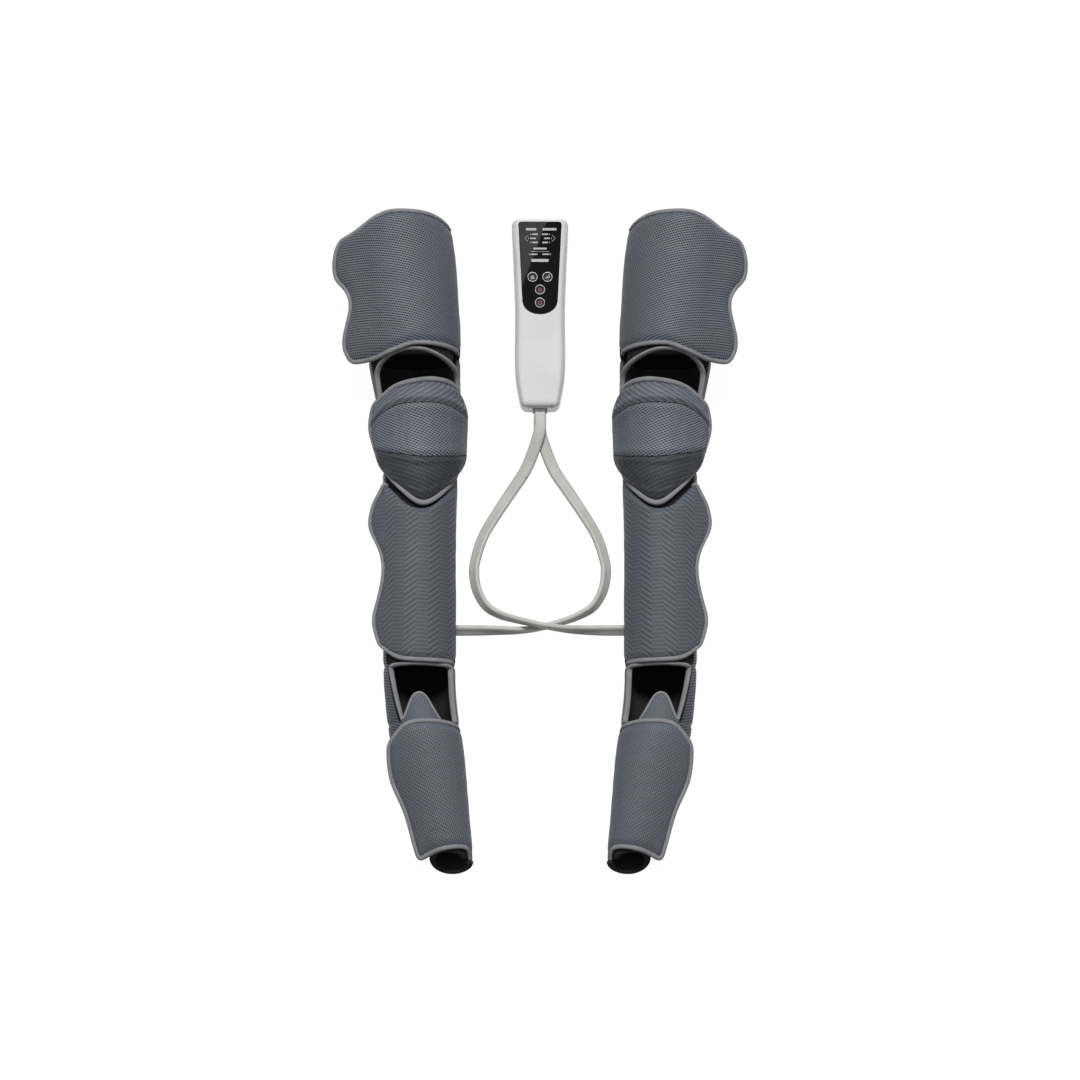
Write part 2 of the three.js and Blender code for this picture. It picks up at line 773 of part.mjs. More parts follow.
function socketBlock(grow) {
  const w = socketWidth / 2 + grow;
  const h = socketHeight / 2 + grow;
  const outline = new THREE.Shape();
  outline.moveTo(-w + socketCorner, -h);
  outline.lineTo(w - socketCorner, -h);
  outline.quadraticCurveTo(w, -h, w, -h + socketCorner);
  outline.lineTo(w, h - socketCorner);
  outline.quadraticCurveTo(w, h, w - socketCorner, h);
  outline.lineTo(-w + socketCorner, h);
  outline.quadraticCurveTo(-w, h, -w, h - socketCorner);
  outline.lineTo(-w, -h + socketCorner);
  outline.quadraticCurveTo(-w, -h, -w + socketCorner, -h);
  const block = new THREE.ExtrudeGeometry(outline, {
    depth: socketOut + socketIn, bevelEnabled: false, curveSegments: 3,
  });
  return block.rotateX(Math.PI / 2).translate(0, socketIn, socketMiddle);
}

function shells() {
  const hollow = solid(housing(0)).subtract(solid(housing(shellWall)))
    .subtract(solid(socketBlock(fitGap)))
    .subtract(solid(barrel(inletSide, partingHeight, inletRadius + fitGap,
      handsetLength - inletDepth, handsetLength + overrun)));
  const half = (low, high) => {
    const box = new THREE.BoxGeometry(headWidth + overrun, handsetLength + overrun, high - low);
    return solid(box.translate(0, handsetLength / 2, (low + high) / 2));
  };
  const back = hollow.intersect(half(-overrun, partingHeight - fitGap / 2));
  let front = hollow.intersect(half(partingHeight + fitGap / 2, handsetHeight + overrun));
  for (const x of [-1, 1])
    for (const y of [boardFromHead + postInset, boardFromHead + boardLength - postInset]) {
      const place = [x * (boardWidth / 2 - postInset), handsetLength - y];
      front = front.add(solid(disc(place, postRadius, boardTop + fitGap, ceiling + fitGap, 8)));
    }
  front = front.subtract(solid(raised(panelShape(fitGap), recessFloor, handsetHeight + overrun)));
  for (const place of Object.values(buttonPlaces))
    front = front.subtract(solid(disc(place, buttonRadius + buttonGap, ceiling - fitGap / 2, handsetHeight + overrun)));
  return { front: shape(front), back: shape(back) };
}

function circuitBoard() {
  const slab = new THREE.BoxGeometry(boardWidth, boardLength, boardThickness);
  slab.translate(0, handsetLength - boardFromHead - boardLength / 2, boardTop - boardThickness / 2);
  let board = solid(slab);
  for (const place of Object.values(buttonPlaces))
    board = board.add(solid(disc(place, switchRadius, boardTop - fitGap, boardTop + switchHeight, 8)));
  const chip = new THREE.BoxGeometry(chipSize, chipSize, chipThickness * 2);
  return shape(board.add(solid(chip.translate(0, handsetLength - chipFromHead, boardTop))));
}

function airPump() {
  const middle = insideFloor + pumpRadius;
  const feet = new THREE.BoxGeometry(pumpFoot, pumpLength / 2, pumpRadius);
  feet.translate(0, pumpStart + pumpLength / 2, insideFloor + pumpRadius / 2);
  return shape(solid(barrel(0, middle, pumpRadius, pumpStart, pumpStart + pumpLength, 16))
    .add(solid(feet))
    .add(solid(barrel(0, middle, nippleRadius, pumpStart - nippleLength, pumpStart + nippleLength, 8))));
}

function valveBlock() {
  const start = pumpStart - nippleLength - fitGap - valveLength;
  const block = new THREE.BoxGeometry(valveWidth, valveLength, valveHeight);
  let body = solid(block.translate(0, start + valveLength / 2, insideFloor + valveHeight / 2));
  for (const side of [-1, 1])
    body = body.add(solid(barrel(side * nippleSpread, insideFloor + valveHeight / 2, nippleRadius,
      socketIn + fitGap, start + valveLength / 2, 8)));
  return shape(body);
}

function dcInlet() {
  const profile = [
    [0, 0], [inletRadius, 0], [inletRadius, inletDepth], [inletBore, inletDepth], [inletBore, inletFloor],
    [0, inletFloor],
  ].map(([r, y]) => new THREE.Vector2(r, y));
  return new THREE.LatheGeometry(profile, 12)
    .translate(inletSide, handsetLength - inletDepth + inletProud, partingHeight);
}

function handset() {
  const group = new THREE.Group();
  const { front, back } = shells();
  group.add(named('front_shell', front, whiteGloss()));
  group.add(named('back_shell', back, whiteGloss()));
  group.add(named('screen_panel', screenPanel(), blackGlass()));
  for (const [name, place] of Object.entries(buttonPlaces)) group.add(named(name, button(place), blackGlass()));
  group.add(named('circuit_board', circuitBoard(), finish(0x1e5a3a, 0.6)));
  group.add(named('air_pump', airPump(), finish(0x9a9da0, 0.4, 0.6)));
  group.add(named('valve_block', valveBlock(), greyPlastic()));
  group.add(named('hose_socket', socketBlock(0), greyPlastic()));
  group.add(named('dc_inlet', dcInlet(), finish(0x202124, 0.5)));
  group.position.y = handsetEnd;
  return group;
}

// The routes of the two hoses, from the handset to the boot on the other side: X, Y, Z and roll in degrees
const leftRoute = [
  [0, 186.7, 25.4, 0], [0, 165, 25.2, 0], [-4, 146, 22.6, 0], [-19, 108, 13.5, 6], [-39.5, 76.5, 8, 15],
  [-59, 46.5, 7.4, 25], [-79, 12, 8, 32], [-90, -22, 8.4, 38], [-92, -43, 8.7, 42], [-87.5, -67.5, 9, 50],
  [-75, -89, 9.2, 60], [-57, -101, 11.5, 72], [-36, -109.5, 19.5, 82], [0, -119.6, 28, 90],
  [30, -123.4, 22, 82], [57, -123.4, 12.5, 66], [86, -123.4, 9, 52], [108, -123.4, 8.8, 50],
  [125.7, -123.4, 8.8, 50],
];
const rightRoute = [
  [0, 186.7, 16.8, 0], [0, 165, 16.4, 0], [4, 146, 14, 0], [19, 108, 8.5, -6], [39.5, 76.5, 6.6, -15],
  [59, 46.5, 7.4, -25], [79, 12, 8, -32], [90, -22, 8.4, -38], [92, -43, 8.7, -42], [87.5, -67.5, 9, -50],
  [75, -89, 9.2, -60], [57, -101, 9.4, -72], [36, -109.5, 9.5, -82], [0, -119.6, 9.2, -90],
  [-30, -123.4, 9.2, -82], [-57, -123.4, 9.2, -66], [-86, -123.4, 9, -52], [-108, -123.4, 8.8, -50],
  [-125.7, -123.4, 8.8, -50],
];

// A flat hose: a straight extrusion laid along its route and rolled about it
function hose(route) {
  const curve = new THREE.CatmullRomCurve3(route.map((row) => new THREE.Vector3(...row)), false, 'catmullrom');
  const radius = hoseThickness / 2;
  const flat = hoseWidth / 2 - radius;
  const section = new THREE.Shape();
  section.moveTo(-flat, -radius);
  section.lineTo(flat, -radius);
  section.absarc(flat, 0, radius, -Math.PI / 2, Math.PI / 2);
  section.lineTo(-flat, radius);
  section.absarc(-flat, 0, radius, Math.PI / 2, 3 * Math.PI / 2);
  const length = curve.getLength();
  const body = new THREE.ExtrudeGeometry(section, {
    depth: length, steps: hoseSteps, bevelEnabled: false, curveSegments: 2,
  });
  const at = body.attributes.position;
  const up = new THREE.Vector3(0, 0, 1);
  for (let k = 0; k < at.count; k++) {
    const t = curve.getUtoTmapping(clamp(at.getZ(k) / length, 0, 1));
    const place = t * (route.length - 1);
    const before = Math.min(Math.floor(place), route.length - 2);
    const roll = radians(lerp(route[before][3], route[before + 1][3], place - before));
    const way = curve.getTangent(t);
    const across = way.clone().cross(up).normalize().applyAxisAngle(way, roll);
    const over = across.clone().cross(way);
    const point = curve.getPoint(t).addScaledVector(across, at.getX(k)).addScaledVector(over, at.getY(k));
    at.setXYZ(k, point.x, point.y, point.z);
  }
  return outward(body);
}

const pair = new THREE.Group();
pair.add(boot('left'));
const mirrored = boot('right');
mirrored.scale.x = -1;
pair.add(mirrored);
pair.add(handset());
pair.add(named('left_hose', hose(leftRoute), hoseRubber()));
pair.add(named('right_hose', hose(rightRoute), hoseRubber()));

export default pair;
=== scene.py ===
import json
from math import cos, exp, pi, radians, sin, sqrt

import bmesh
import bpy
from bpy.props import FloatProperty, FloatVectorProperty, PointerProperty
from mathutils import Matrix, Vector, noise

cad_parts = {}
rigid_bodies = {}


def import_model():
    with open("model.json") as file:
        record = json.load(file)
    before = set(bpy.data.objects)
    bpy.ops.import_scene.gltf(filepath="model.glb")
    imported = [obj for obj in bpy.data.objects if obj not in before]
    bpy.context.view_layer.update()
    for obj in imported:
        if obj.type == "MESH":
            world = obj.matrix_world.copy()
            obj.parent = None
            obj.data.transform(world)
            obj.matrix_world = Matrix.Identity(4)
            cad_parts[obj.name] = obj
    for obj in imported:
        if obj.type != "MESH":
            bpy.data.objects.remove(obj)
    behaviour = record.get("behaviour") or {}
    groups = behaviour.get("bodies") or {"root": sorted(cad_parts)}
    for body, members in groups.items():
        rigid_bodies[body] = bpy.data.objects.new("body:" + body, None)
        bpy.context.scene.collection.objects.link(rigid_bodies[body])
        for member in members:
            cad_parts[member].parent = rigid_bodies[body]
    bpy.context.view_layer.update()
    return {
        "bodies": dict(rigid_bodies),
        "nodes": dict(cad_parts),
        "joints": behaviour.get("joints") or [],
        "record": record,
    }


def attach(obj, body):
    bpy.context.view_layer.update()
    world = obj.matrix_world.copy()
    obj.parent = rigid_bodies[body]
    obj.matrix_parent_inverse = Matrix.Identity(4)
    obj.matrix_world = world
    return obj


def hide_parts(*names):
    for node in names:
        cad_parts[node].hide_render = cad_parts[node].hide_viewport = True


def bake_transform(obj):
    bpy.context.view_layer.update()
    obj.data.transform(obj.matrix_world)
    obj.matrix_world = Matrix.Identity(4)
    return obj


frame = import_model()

bl_info = {
    "name": "Compression boots",
    "version": (1, 0, 0),
    "blender": (4, 5, 0),
    "location": "View3D > Sidebar > Boots",
    "description": "Builds a pair of air compression boots with their hoses and handset",
    "category": "Object",
}

# The boot's form

# Station from the toes, distance from the midline, half width and height, in metres
GIRTHS = (
    (0.0, 0.1225, 0.032, 0.052),
    (0.16683, 0.1585, 0.053, 0.084),
    (0.242, 0.169, 0.054, 0.088),
    (0.3384, 0.171, 0.0546, 0.098),
    (0.49075, 0.171, 0.0546, 0.104),
    (0.6226, 0.172, 0.060, 0.106),
    (0.719, 0.1795, 0.069, 0.128),
    (0.82124, 0.189, 0.074, 0.136),
    (0.932, 0.203, 0.076, 0.14),
)
MIDDLES, HALVES, HEIGHTS = ([(row[0], row[k]) for row in GIRTHS] for k in (1, 2, 3))
HALF_LENGTH = 0.466
ANKLE_START = 0.201
CALF_START = 0.283
KNEE_START = 0.56
THIGH_START = 0.719
BOOT_LENGTH = 0.932
AXIS_SHARE = 0.46
WALL = 0.006
FLAP_DEPTH = 0.0071
FLAP_THICKNESS = 0.007
LAYERS = FLAP_DEPTH + FLAP_THICKNESS
STRAIGHT_TURN = 125
WING_TURN = 18
PER_TURN = 0.0009
RIM_POINTS = 240
SIDES = ("left", "right")


def smooth(rows, place):
    """A value read smoothly from rows of (place, value)."""
    last = len(rows) - 1
    k = 0
    while k < last - 1 and place > rows[k + 1][0]:
        k += 1

    def slope(i):
        before, after = rows[max(i - 1, 0)], rows[min(i + 1, last)]
        return (after[1] - before[1]) / (after[0] - before[0])

    span = rows[k + 1][0] - rows[k][0]
    t = min(max((place - rows[k][0]) / span, 0.0), 1.0)
    rise = rows[k + 1][1] - rows[k][1]
    start, end = slope(k) * span, slope(k + 1) * span
    return rows[k][1] + start * t + (3 * rise - 2 * start - end) * t**2 + (start + end - 2 * rise) * t**3


def mix(a, b, share):
    return a + (b - a) * share


def ease(value, low, high):
    """0 below low, 1 above high and smooth between them."""
    t = min(max((value - low) / (high - low), 0.0), 1.0)
    return t * t * (3 - 2 * t)


def oval(station):
    """Middle and radii of the lining at a station."""
    height = smooth(HEIGHTS, station)
    return (
        -smooth(MIDDLES, station),
        height * AXIS_SHARE,
        smooth(HALVES, station) - LAYERS,
        height * (1 - AXIS_SHARE) - LAYERS,
    )


def back_point(station, turn, depth):
    """A point of a back panel, by station, turn in degrees from the inner side and depth."""
    x, z, a, b = oval(station)
    out = depth + ease(turn, 180, 360) * FLAP_DEPTH
    angle = radians(turn)
    height = z + (b + out) * sin(angle)
    return Vector((x + (a + out) * cos(angle), station - HALF_LENGTH, max(height, WALL - depth)))


def flap_point(station, over, depth):
    """A point of a flap, by station, length over from the fold and depth from the lining."""
    x, z, a, b = oval(station)
    radius = (a + b) / 2 + LAYERS
    angle = min(over / radius, radians(STRAIGHT_TURN))
    past = over - angle * radius
    way = Vector((-a * sin(angle), b * cos(angle))).normalized() * past
    return Vector((
        x + (a + depth) * cos(angle) + way.x,
        station - HALF_LENGTH,
        z + (b + depth) * sin(angle) + way.y,
    ))


def reach(station, overhang):
    """The length over at which a flap stands out past the boot's outer side by an overhang."""
    _, _, a, b = oval(station)
    angle = radians(STRAIGHT_TURN)
    way = Vector((-a * sin(angle), b * cos(angle))).normalized()
    past = (-(a + LAYERS + overhang) - (a + LAYERS) * cos(angle)) / way.x
    return angle * ((a + b) / 2 + LAYERS) + past


def thigh_rim(turn):
    across = cos(radians(turn))
    setback = 0.015 * across**4 if across > 0 else 0.04 * across**2
    return BOOT_LENGTH - 0.015 * (1 + sin(radians(turn))) / 2 - setback


def knee_arch(turn):
    """The lower edge of the thigh's inner wing, an arch over the knee."""
    return max(0.7235 - 0.021 * ((turn - 85) / 62) ** 2, 0.69) if turn < 162 else THIGH_START


def toe_rim(turn):
    return 0.024 * (1 + sin(radians(turn))) / 2


# Flaps in the flat

def between(low, high, shares):
    """A curve over a flap: shares of the width, with places between two stations."""
    return [(over, mix(low, high, up)) for over, up in shares]


class Flap:
    """The flat pattern of a flap: its curves from the fold to the free edge, and how far it reaches."""

    def __init__(self, curves, overhang, depth, free_shares, edge, thickness, corner):
        self.curves = curves
        self.bands = [k / (len(curves) - 1) for k in range(len(curves))]
        self.overhang = overhang
        self.depth = depth
        self.free_shares = free_shares
        self.edge = edge
        self.thickness = thickness
        self.corner = corner
        self.lowest = smooth(curves[0], 1.0)
        self.highest = smooth(curves[-1], 1.0)
        self.rim = self.rounded_rim()

    def raw(self, u, v):
        """(over, station) for shares across and up, before the corners are rounded."""
        k = 0
        while k < len(self.curves) - 2 and v > self.bands[k + 1]:
            k += 1
        share = (v - self.bands[k]) / (self.bands[k + 1] - self.bands[k])
        station = mix(smooth(self.curves[k], u), smooth(self.curves[k + 1], u), share)
        free = mix(smooth(self.curves[k], 1.0), smooth(self.curves[k + 1], 1.0), share)
        out = smooth(self.free_shares, (free - self.lowest) / (self.highest - self.lowest))
        return reach(free, self.overhang - self.depth * (1 - out)) * u, station

    def rounded_rim(self):
        """The outline from the fold's low end round the free edge to its high end, corners rounded."""
        steps = RIM_POINTS // 4
        line = [self.raw(k / steps, 0) for k in range(steps)]
        line += [self.raw(1, k / steps) for k in range(steps)]
        line += [self.raw(1 - k / steps, 1) for k in range(steps + 1)]
        line = respaced([Vector(p) for p in line], RIM_POINTS)
        spacing = (line[1] - line[0]).length
        for _ in range(int((self.corner / spacing) ** 2 / 2)):
            line = softened(line)
        return respaced(line, RIM_POINTS)

    def corners(self):
        """Where the outline turns from its low edge to its free edge, and on to its high edge."""
        turns = Vector(self.raw(1, 0)), Vector(self.raw(1, 1))
        return [min(range(len(self.rim)), key=lambda k: (self.rim[k] - turn).length) for turn in turns]


def softened(line):
    """The same line with its corners eased a little and its ends kept."""
    eased = [(a + b * 2 + c) / 4 for a, b, c in zip(line, line[1:], line[2:])]
    return [line[0], *eased, line[-1]]


def respaced(line, count):
    """The same line with evenly spaced points."""
    lengths = [0.0]
    for a, b in zip(line, line[1:]):
        lengths.append(lengths[-1] + (b - a).length)
    points, k = [], 0
    for step in range(count + 1):
        at = lengths[-1] * step / count
        while k < len(line) - 2 and lengths[k + 1] < at:
            k += 1
        span = lengths[k + 1] - lengths[k] or 1.0
        points.append(line[k].lerp(line[k + 1], (at - lengths[k]) / span))
    return points


def at_share(line, share):
    place = min(max(share, 0.0), 1.0) * (len(line) - 1)
    k = min(int(place), len(line) - 2)
    return line[k].lerp(line[k + 1], place - k)


def inset(line, distance):
    """A line in the flat moved towards its inner side."""
    moved = []
    for k, point in enumerate(line):
        way = line[min(k + 1, len(line) - 1)] - line[max(k - 1, 0)]
        side = Vector((-way.y, way.x)).normalized() * distance
        end = k in (0, len(line) - 1)
        moved.append(Vector((point.x if end else point.x + side.x, point.y + side.y)))
    return moved


THIGH_FLAP = Flap(
    curves=[
        between(0.725, BOOT_LENGTH, [
            (0, 0), (0.5, 0), (0.6, -0.03), (0.69, -0.053), (0.81, -0.083), (1, -0.085),
        ]),
        [(k / 12, thigh_rim(k / 12 * 168)) for k in range(13)],
    ],
    overhang=0.024, depth=0.016,
    free_shares=[
        (0, 0.75), (0.11, 1.2), (0.19, 1.17), (0.27, 0.89), (0.36, 0.49), (0.45, 0.13), (0.53, 0.13),
        (0.6, 0.43), (0.68, 1.1), (0.76, 1.16), (0.84, 1.04), (0.92, 0.74), (1, 0.2),
    ],
    edge=0.004, thickness=FLAP_THICKNESS, corner=0.014,
)
PAD_START, PAD_END = 0.5, 0.684
PAD_BOTTOM = [(0, 0.31), (0.22, 0.16), (0.52, 0), (0.78, 0.14), (1, 0.33)]
PAD_FREE = [(0, 0.05), (0.3, 0.6), (0.65, 1), (1, 0.3)]
PAD_REACH = 0.0085
PAD_WAIST = 0.012
CALF_REACH = 0.014
CALF_WAIST = 0.022
CALF_END = KNEE_START - 0.006
TIP_GAP = 0.0025
KNEE_PAD = Flap(
    curves=[between(PAD_START, PAD_END, shares) for shares in (
        PAD_BOTTOM,
        [(0, 0.45), (0.33, 0.378), (0.55, 0.36), (0.75, 0.395), (1, 0.46)],
        [
            (0, 0.72), (0.2, 0.753), (0.33, 0.778), (0.45, 0.784), (0.67, 0.763), (0.8, 0.713),
            (0.93, 0.645), (1, 0.62),
        ],
        [(0, 0.9), (0.2, 0.97), (0.42, 0.985), (0.6, 0.965), (0.8, 0.92), (1, 0.81)],
    )],
    overhang=PAD_REACH, depth=PAD_WAIST, free_shares=PAD_FREE,
    edge=0.007, thickness=0.018, corner=0.012,
)
CALF_FREE = [
    (0, 0.4), (0.16, 0.78), (0.3, 0.42), (0.45, 0.16), (0.57, 0.36), (0.73, 1.05), (0.86, 0.82),
    (0.93, 0.4), (1, 0),
]


def calf_top():
    """The calf flap's top edge, cut clear of the knee pad's tip."""
    mine = reach(CALF_END, CALF_REACH - CALF_WAIST * (1 - CALF_FREE[-1][1]))
    low = between(PAD_START, PAD_END, PAD_BOTTOM)
    pads = reach(low[4][1], PAD_REACH - PAD_WAIST * (1 - PAD_FREE[0][1]))
    shares = [min(k / 24 * mine / pads, 1) for k in range(25)]
    swept = [max(share - 0.06, min(share, 0.52)) for share in shares]
    return [(k / 24, min(smooth(low, share) - TIP_GAP, CALF_END)) for k, share in enumerate(swept)]


CALF_FLAP = Flap(
    curves=[between(0.285, CALF_END, [(0, 0), (0.72, 0), (1, 0.085)]), calf_top()],
    overhang=CALF_REACH, depth=CALF_WAIST, free_shares=CALF_FREE,
    edge=0.004, thickness=FLAP_THICKNESS, corner=0.012,
)
FOOT_FLAP = Flap(
    curves=[between(0, 0.2, shares) for shares in (
        [(0, 0.08), (0.15, 0.14), (0.7, 0.11), (1, 0.05)],
        [(0, 1), (0.72, 1), (1, 0.86)],
    )],
    overhang=0.012, depth=0.012,
    free_shares=[(0, 1.05), (0.2, 0.85), (0.42, 0.62), (0.7, 0.95), (1, 0.1)],
    edge=0.004, thickness=FLAP_THICKNESS, corner=0.016,
)


# Sizes and colours

def length(name, description, default):
    return FloatProperty(
        name=name, description=description, default=default, min=0.0, unit="LENGTH", precision=4,
    )


def colour(name, description, default):
    return FloatVectorProperty(
        name=name, description=description, default=default, size=3, subtype="COLOR",
    )


class SoftSettings(bpy.types.PropertyGroup):
    """The boots' fabric, lining and tapes."""

    tape_width: length("Tape width", "Width of the edge tape on each face", 0.0052)
    tape_proud: length("Tape stand", "How far the tape stands over the edge", 0.0011)
    weave: length("Weave pitch", "Distance between the openings of the spacer mesh", 0.0040)
    fabric: colour("Mesh", "Threads of the spacer mesh", (0.178, 0.193, 0.226))
    pores: colour("Mesh openings", "What shows through the openings of the mesh", (0.030, 0.038, 0.050))
    tape: colour("Edge tape", "Woven tape along the edges", (0.40, 0.40, 0.42))
    lining: colour("Lining", "Brushed lining inside the wraps", (0.026, 0.026, 0.027))
    film: colour("Chamber film", "Coated film of the air chambers", (0.012, 0.012, 0.014))


class HoseSettings(bpy.types.PropertyGroup):
    """The two flat hoses."""

    width: length("Width", "Width of the flat hose", 0.017)
    thickness: length("Thickness", "Thickness of the flat hose", 0.007)
    rubber: colour("Hose", "Soft hose material", (0.68, 0.685, 0.65))


class HandsetSettings(bpy.types.PropertyGroup):
    """The moulded handset."""

    shell: colour("Housing", "Moulded housing", (0.92, 0.92, 0.92))
    glass: colour("Panel", "Smoked front panel", (0.003, 0.003, 0.0034))
    marks: colour("Marks", "Printed marks on the panel", (0.55, 0.55, 0.56))
    warm_marks: colour("Warm marks", "Marks of the lower two buttons", (0.55, 0.05, 0.06))
    rings: colour("Rings", "Bright rings round the buttons", (0.34, 0.35, 0.36))


# Finishes

# Widths of a pleat in the calf's zigzag and of a rib across the tape
PLEAT, RIB = 0.017, 0.0011


def add(tree, kind, inputs=None, **settings):
    """A shader node with its settings, values and links."""
    made = tree.nodes.new(kind)
    for key, value in settings.items():
        setattr(made, key, value)
    for socket, value in (inputs or {}).items():
        if isinstance(value, bpy.types.NodeSocket):
            tree.links.new(value, made.inputs[socket])
        else:
            made.inputs[socket].default_value = value
    return made


def calc(tree, operation, a, b=0.0):
    return add(tree, "ShaderNodeMath", {0: a, 1: b}, operation=operation).outputs[0]


def spread(tree, value, low, high, to_low=0.0, to_high=1.0):
    """A value taken smoothly from one range to another."""
    return add(tree, "ShaderNodeMapRange", {
        "Value": value, "From Min": low, "From Max": high, "To Min": to_low, "To Max": to_high,
    }, interpolation_type="SMOOTHSTEP").outputs[0]


def shade(colour, share):
    return tuple(min(c * share, 1) for c in colour)


class Finish:
    """A material under way: its tree, its Principled shader and its usual coordinates."""

    def __init__(self, name, uv=None):
        self.material = bpy.data.materials.new(name)
        self.material.use_nodes = True
        self.tree = self.material.node_tree
        self.shader = self.tree.nodes["Principled BSDF"]
        if uv:
            self.at = add(self.tree, "ShaderNodeUVMap", uv_map=uv).outputs[0]
        else:
            self.at = add(self.tree, "ShaderNodeTexCoord").outputs["Object"]

    def set(self, **values):
        for name, value in values.items():
            socket = self.shader.inputs[name.replace("_", " ")]
            if isinstance(value, bpy.types.NodeSocket):
                self.tree.links.new(value, socket)
            else:
                socket.default_value = value

    def calc(self, operation, a, b=0.0):
        return calc(self.tree, operation, a, b)

    def spread(self, value, low, high, to_low=0.0, to_high=1.0):
        return spread(self.tree, value, low, high, to_low, to_high)

    def vector(self, operation, a, b):
        return add(self.tree, "ShaderNodeVectorMath", {0: a, 1: b}, operation=operation).outputs[0]

    def noise(self, scale, detail, at=None, output=0):
        spot = self.at if at is None else at
        made = add(self.tree, "ShaderNodeTexNoise", {"Vector": spot, "Scale": scale, "Detail": detail})
        return made.outputs[output]

    def wave(self, value, pitch):
        return self.calc("SINE", self.calc("MULTIPLY", value, 2 * pi / pitch))

    def blend(self, share, a, b):
        """A colour between two, by a share."""
        node = add(self.tree, "ShaderNodeMix", {0: share}, data_type="RGBA")
        for socket, value in ((node.inputs[6], a), (node.inputs[7], b)):
            if isinstance(value, bpy.types.NodeSocket):
                self.tree.links.new(value, socket)
            else:
                socket.default_value = (*value, 1.0)
        return node.outputs[2]

    def bump(self, height, strength, distance):
        bump = add(self.tree, "ShaderNodeBump", {
            "Height": height, "Strength": strength, "Distance": distance,
        })
        self.tree.links.new(bump.outputs[0], self.shader.inputs["Normal"])


def mesh_fabric(name, soft, light=1.0, scale=1.0, slant=0.0, bend=0.0, zigzag=0.0, column=1.25,
                open_share=0.5):
    """Spacer mesh: knitted courses over staggered openings, with fibres and uneven dye."""
    f = Finish(name, uv="weave")
    threads, pores = shade(soft.fabric, light), shade(soft.pores, light)
    drift = f.vector("MULTIPLY", f.noise(55.0, 1.0, output="Color"), (0.0011,) * 3)
    split = add(f.tree, "ShaderNodeSeparateXYZ", {0: f.vector("ADD", f.at, drift)})
    over, along = split.outputs[0], split.outputs[1]
    lean = f.calc("ADD", f.calc("MULTIPLY", over, bend), slant)
    course = f.calc("ADD", along, f.calc("MULTIPLY", over, lean))
    if zigzag:
        course = f.calc("ADD", course, f.calc("MULTIPLY", f.calc("PINGPONG", over, PLEAT), zigzag))
    pitch = soft.weave * scale
    rows = f.wave(course, pitch)
    columns = f.wave(f.calc("ADD", over, f.calc("MULTIPLY", course, 0.5)), pitch * column)
    knit = f.calc("ADD", f.calc("MULTIPLY", rows, 0.62), f.calc("MULTIPLY", columns, 0.38))
    hole = f.spread(knit, 0.5 - 1.1 * open_share, 0.95 - 0.6 * open_share)
    fibre = f.noise(900.0, 2.0)
    thread = f.blend(f.spread(fibre, 0.3, 0.75), shade(threads, 0.78), shade(threads, 1.3))
    uneven = f.blend(f.spread(f.noise(26.0, 3.0), 0.3, 0.7), shade(pores, 0.8), shade(pores, 1.2))
    f.set(
        Base_Color=f.blend(hole, thread, uneven), Roughness=f.spread(fibre, 0.2, 0.8, 0.5, 0.62),
        Sheen_Weight=0.03, Specular_IOR_Level=f.spread(hole, 0.0, 1.0, 0.5, 0.08),
    )
    f.bump(f.calc("SUBTRACT", f.calc("MULTIPLY", fibre, 0.3), hole), 0.4, 0.0007)
    return f.material


def edge_tape(soft):
    """Woven binding tape: fine cross ribs and loose fibres, with painted shade in the troughs between the
    ribs.
    """
    f = Finish("edge_tape", uv="weave")
    rib = f.wave(add(f.tree, "ShaderNodeSeparateXYZ", {0: f.at}).outputs[0], RIB)
    fibre = f.noise(1600.0, 2.0)
    tint = f.blend(f.spread(f.noise(60.0, 3.0), 0.3, 0.75), shade(soft.tape, 0.8), shade(soft.tape, 1.2))
    # Darker where the ribs and fibres run low: painted shade in the troughs.
    rib_painted_shade = f.spread(f.calc("ADD", rib, fibre), -0.8, 1.6)
    f.set(
        Base_Color=f.blend(rib_painted_shade, shade(soft.tape, 0.72), tint),
        Roughness=f.spread(fibre, 0.2, 0.8, 0.6, 0.82), Sheen_Weight=0.12, Specular_IOR_Level=0.35,
    )
    f.bump(f.calc("ADD", f.calc("MULTIPLY", rib, 0.5), fibre), 0.4, 0.0004)
    return f.material


def brushed_lining(name, soft, lightness=1.0):
    """Black brushed lining with a short pile."""
    f = Finish(name)
    pile = f.noise(900.0, 3.0)
    nap = f.calc("MULTIPLY", f.noise(35.0, 2.0), 0.6)
    low, high = (shade(soft.lining, lightness * share) for share in (0.6, 1.7))
    f.set(
        Base_Color=f.blend(f.spread(f.calc("ADD", pile, nap), 0.5, 1.1), low, high),
        Roughness=f.spread(pile, 0.3, 0.7, 0.85, 1.0), Specular_IOR_Level=0.1,
    )
    f.bump(pile, 0.5, 0.0005)
    return f.material


def hook_strip():
    """Hook tape: rows of small hooks on a black ground."""
    f = Finish("hook_strip")
    cells = add(f.tree, "ShaderNodeTexVoronoi", {"Vector": f.at, "Scale": 620.0}).outputs[0]
    f.set(
        Base_Color=f.blend(f.spread(cells, 0.1, 0.6), (0.03, 0.03, 0.032), (0.008, 0.008, 0.009)),
        Roughness=f.spread(cells, 0.1, 0.7, 0.45, 0.8),
    )
    f.bump(cells, 0.8, 0.0008)
    return f.material


def coated_film(soft):
    """Film of the air chambers, with a fine crepe and soft creases."""
    f = Finish("coated_film")
    crepe, crease = f.noise(420.0, 3.0), f.noise(45.0, 2.0)
    f.set(
        Base_Color=f.blend(crease, soft.film, shade(soft.film, 1.5)),
        Roughness=f.spread(crepe, 0.3, 0.7, 0.42, 0.6),
    )
    f.bump(f.calc("ADD", crepe, f.calc("MULTIPLY", crease, 2.0)), 0.35, 0.0008)
    return f.material


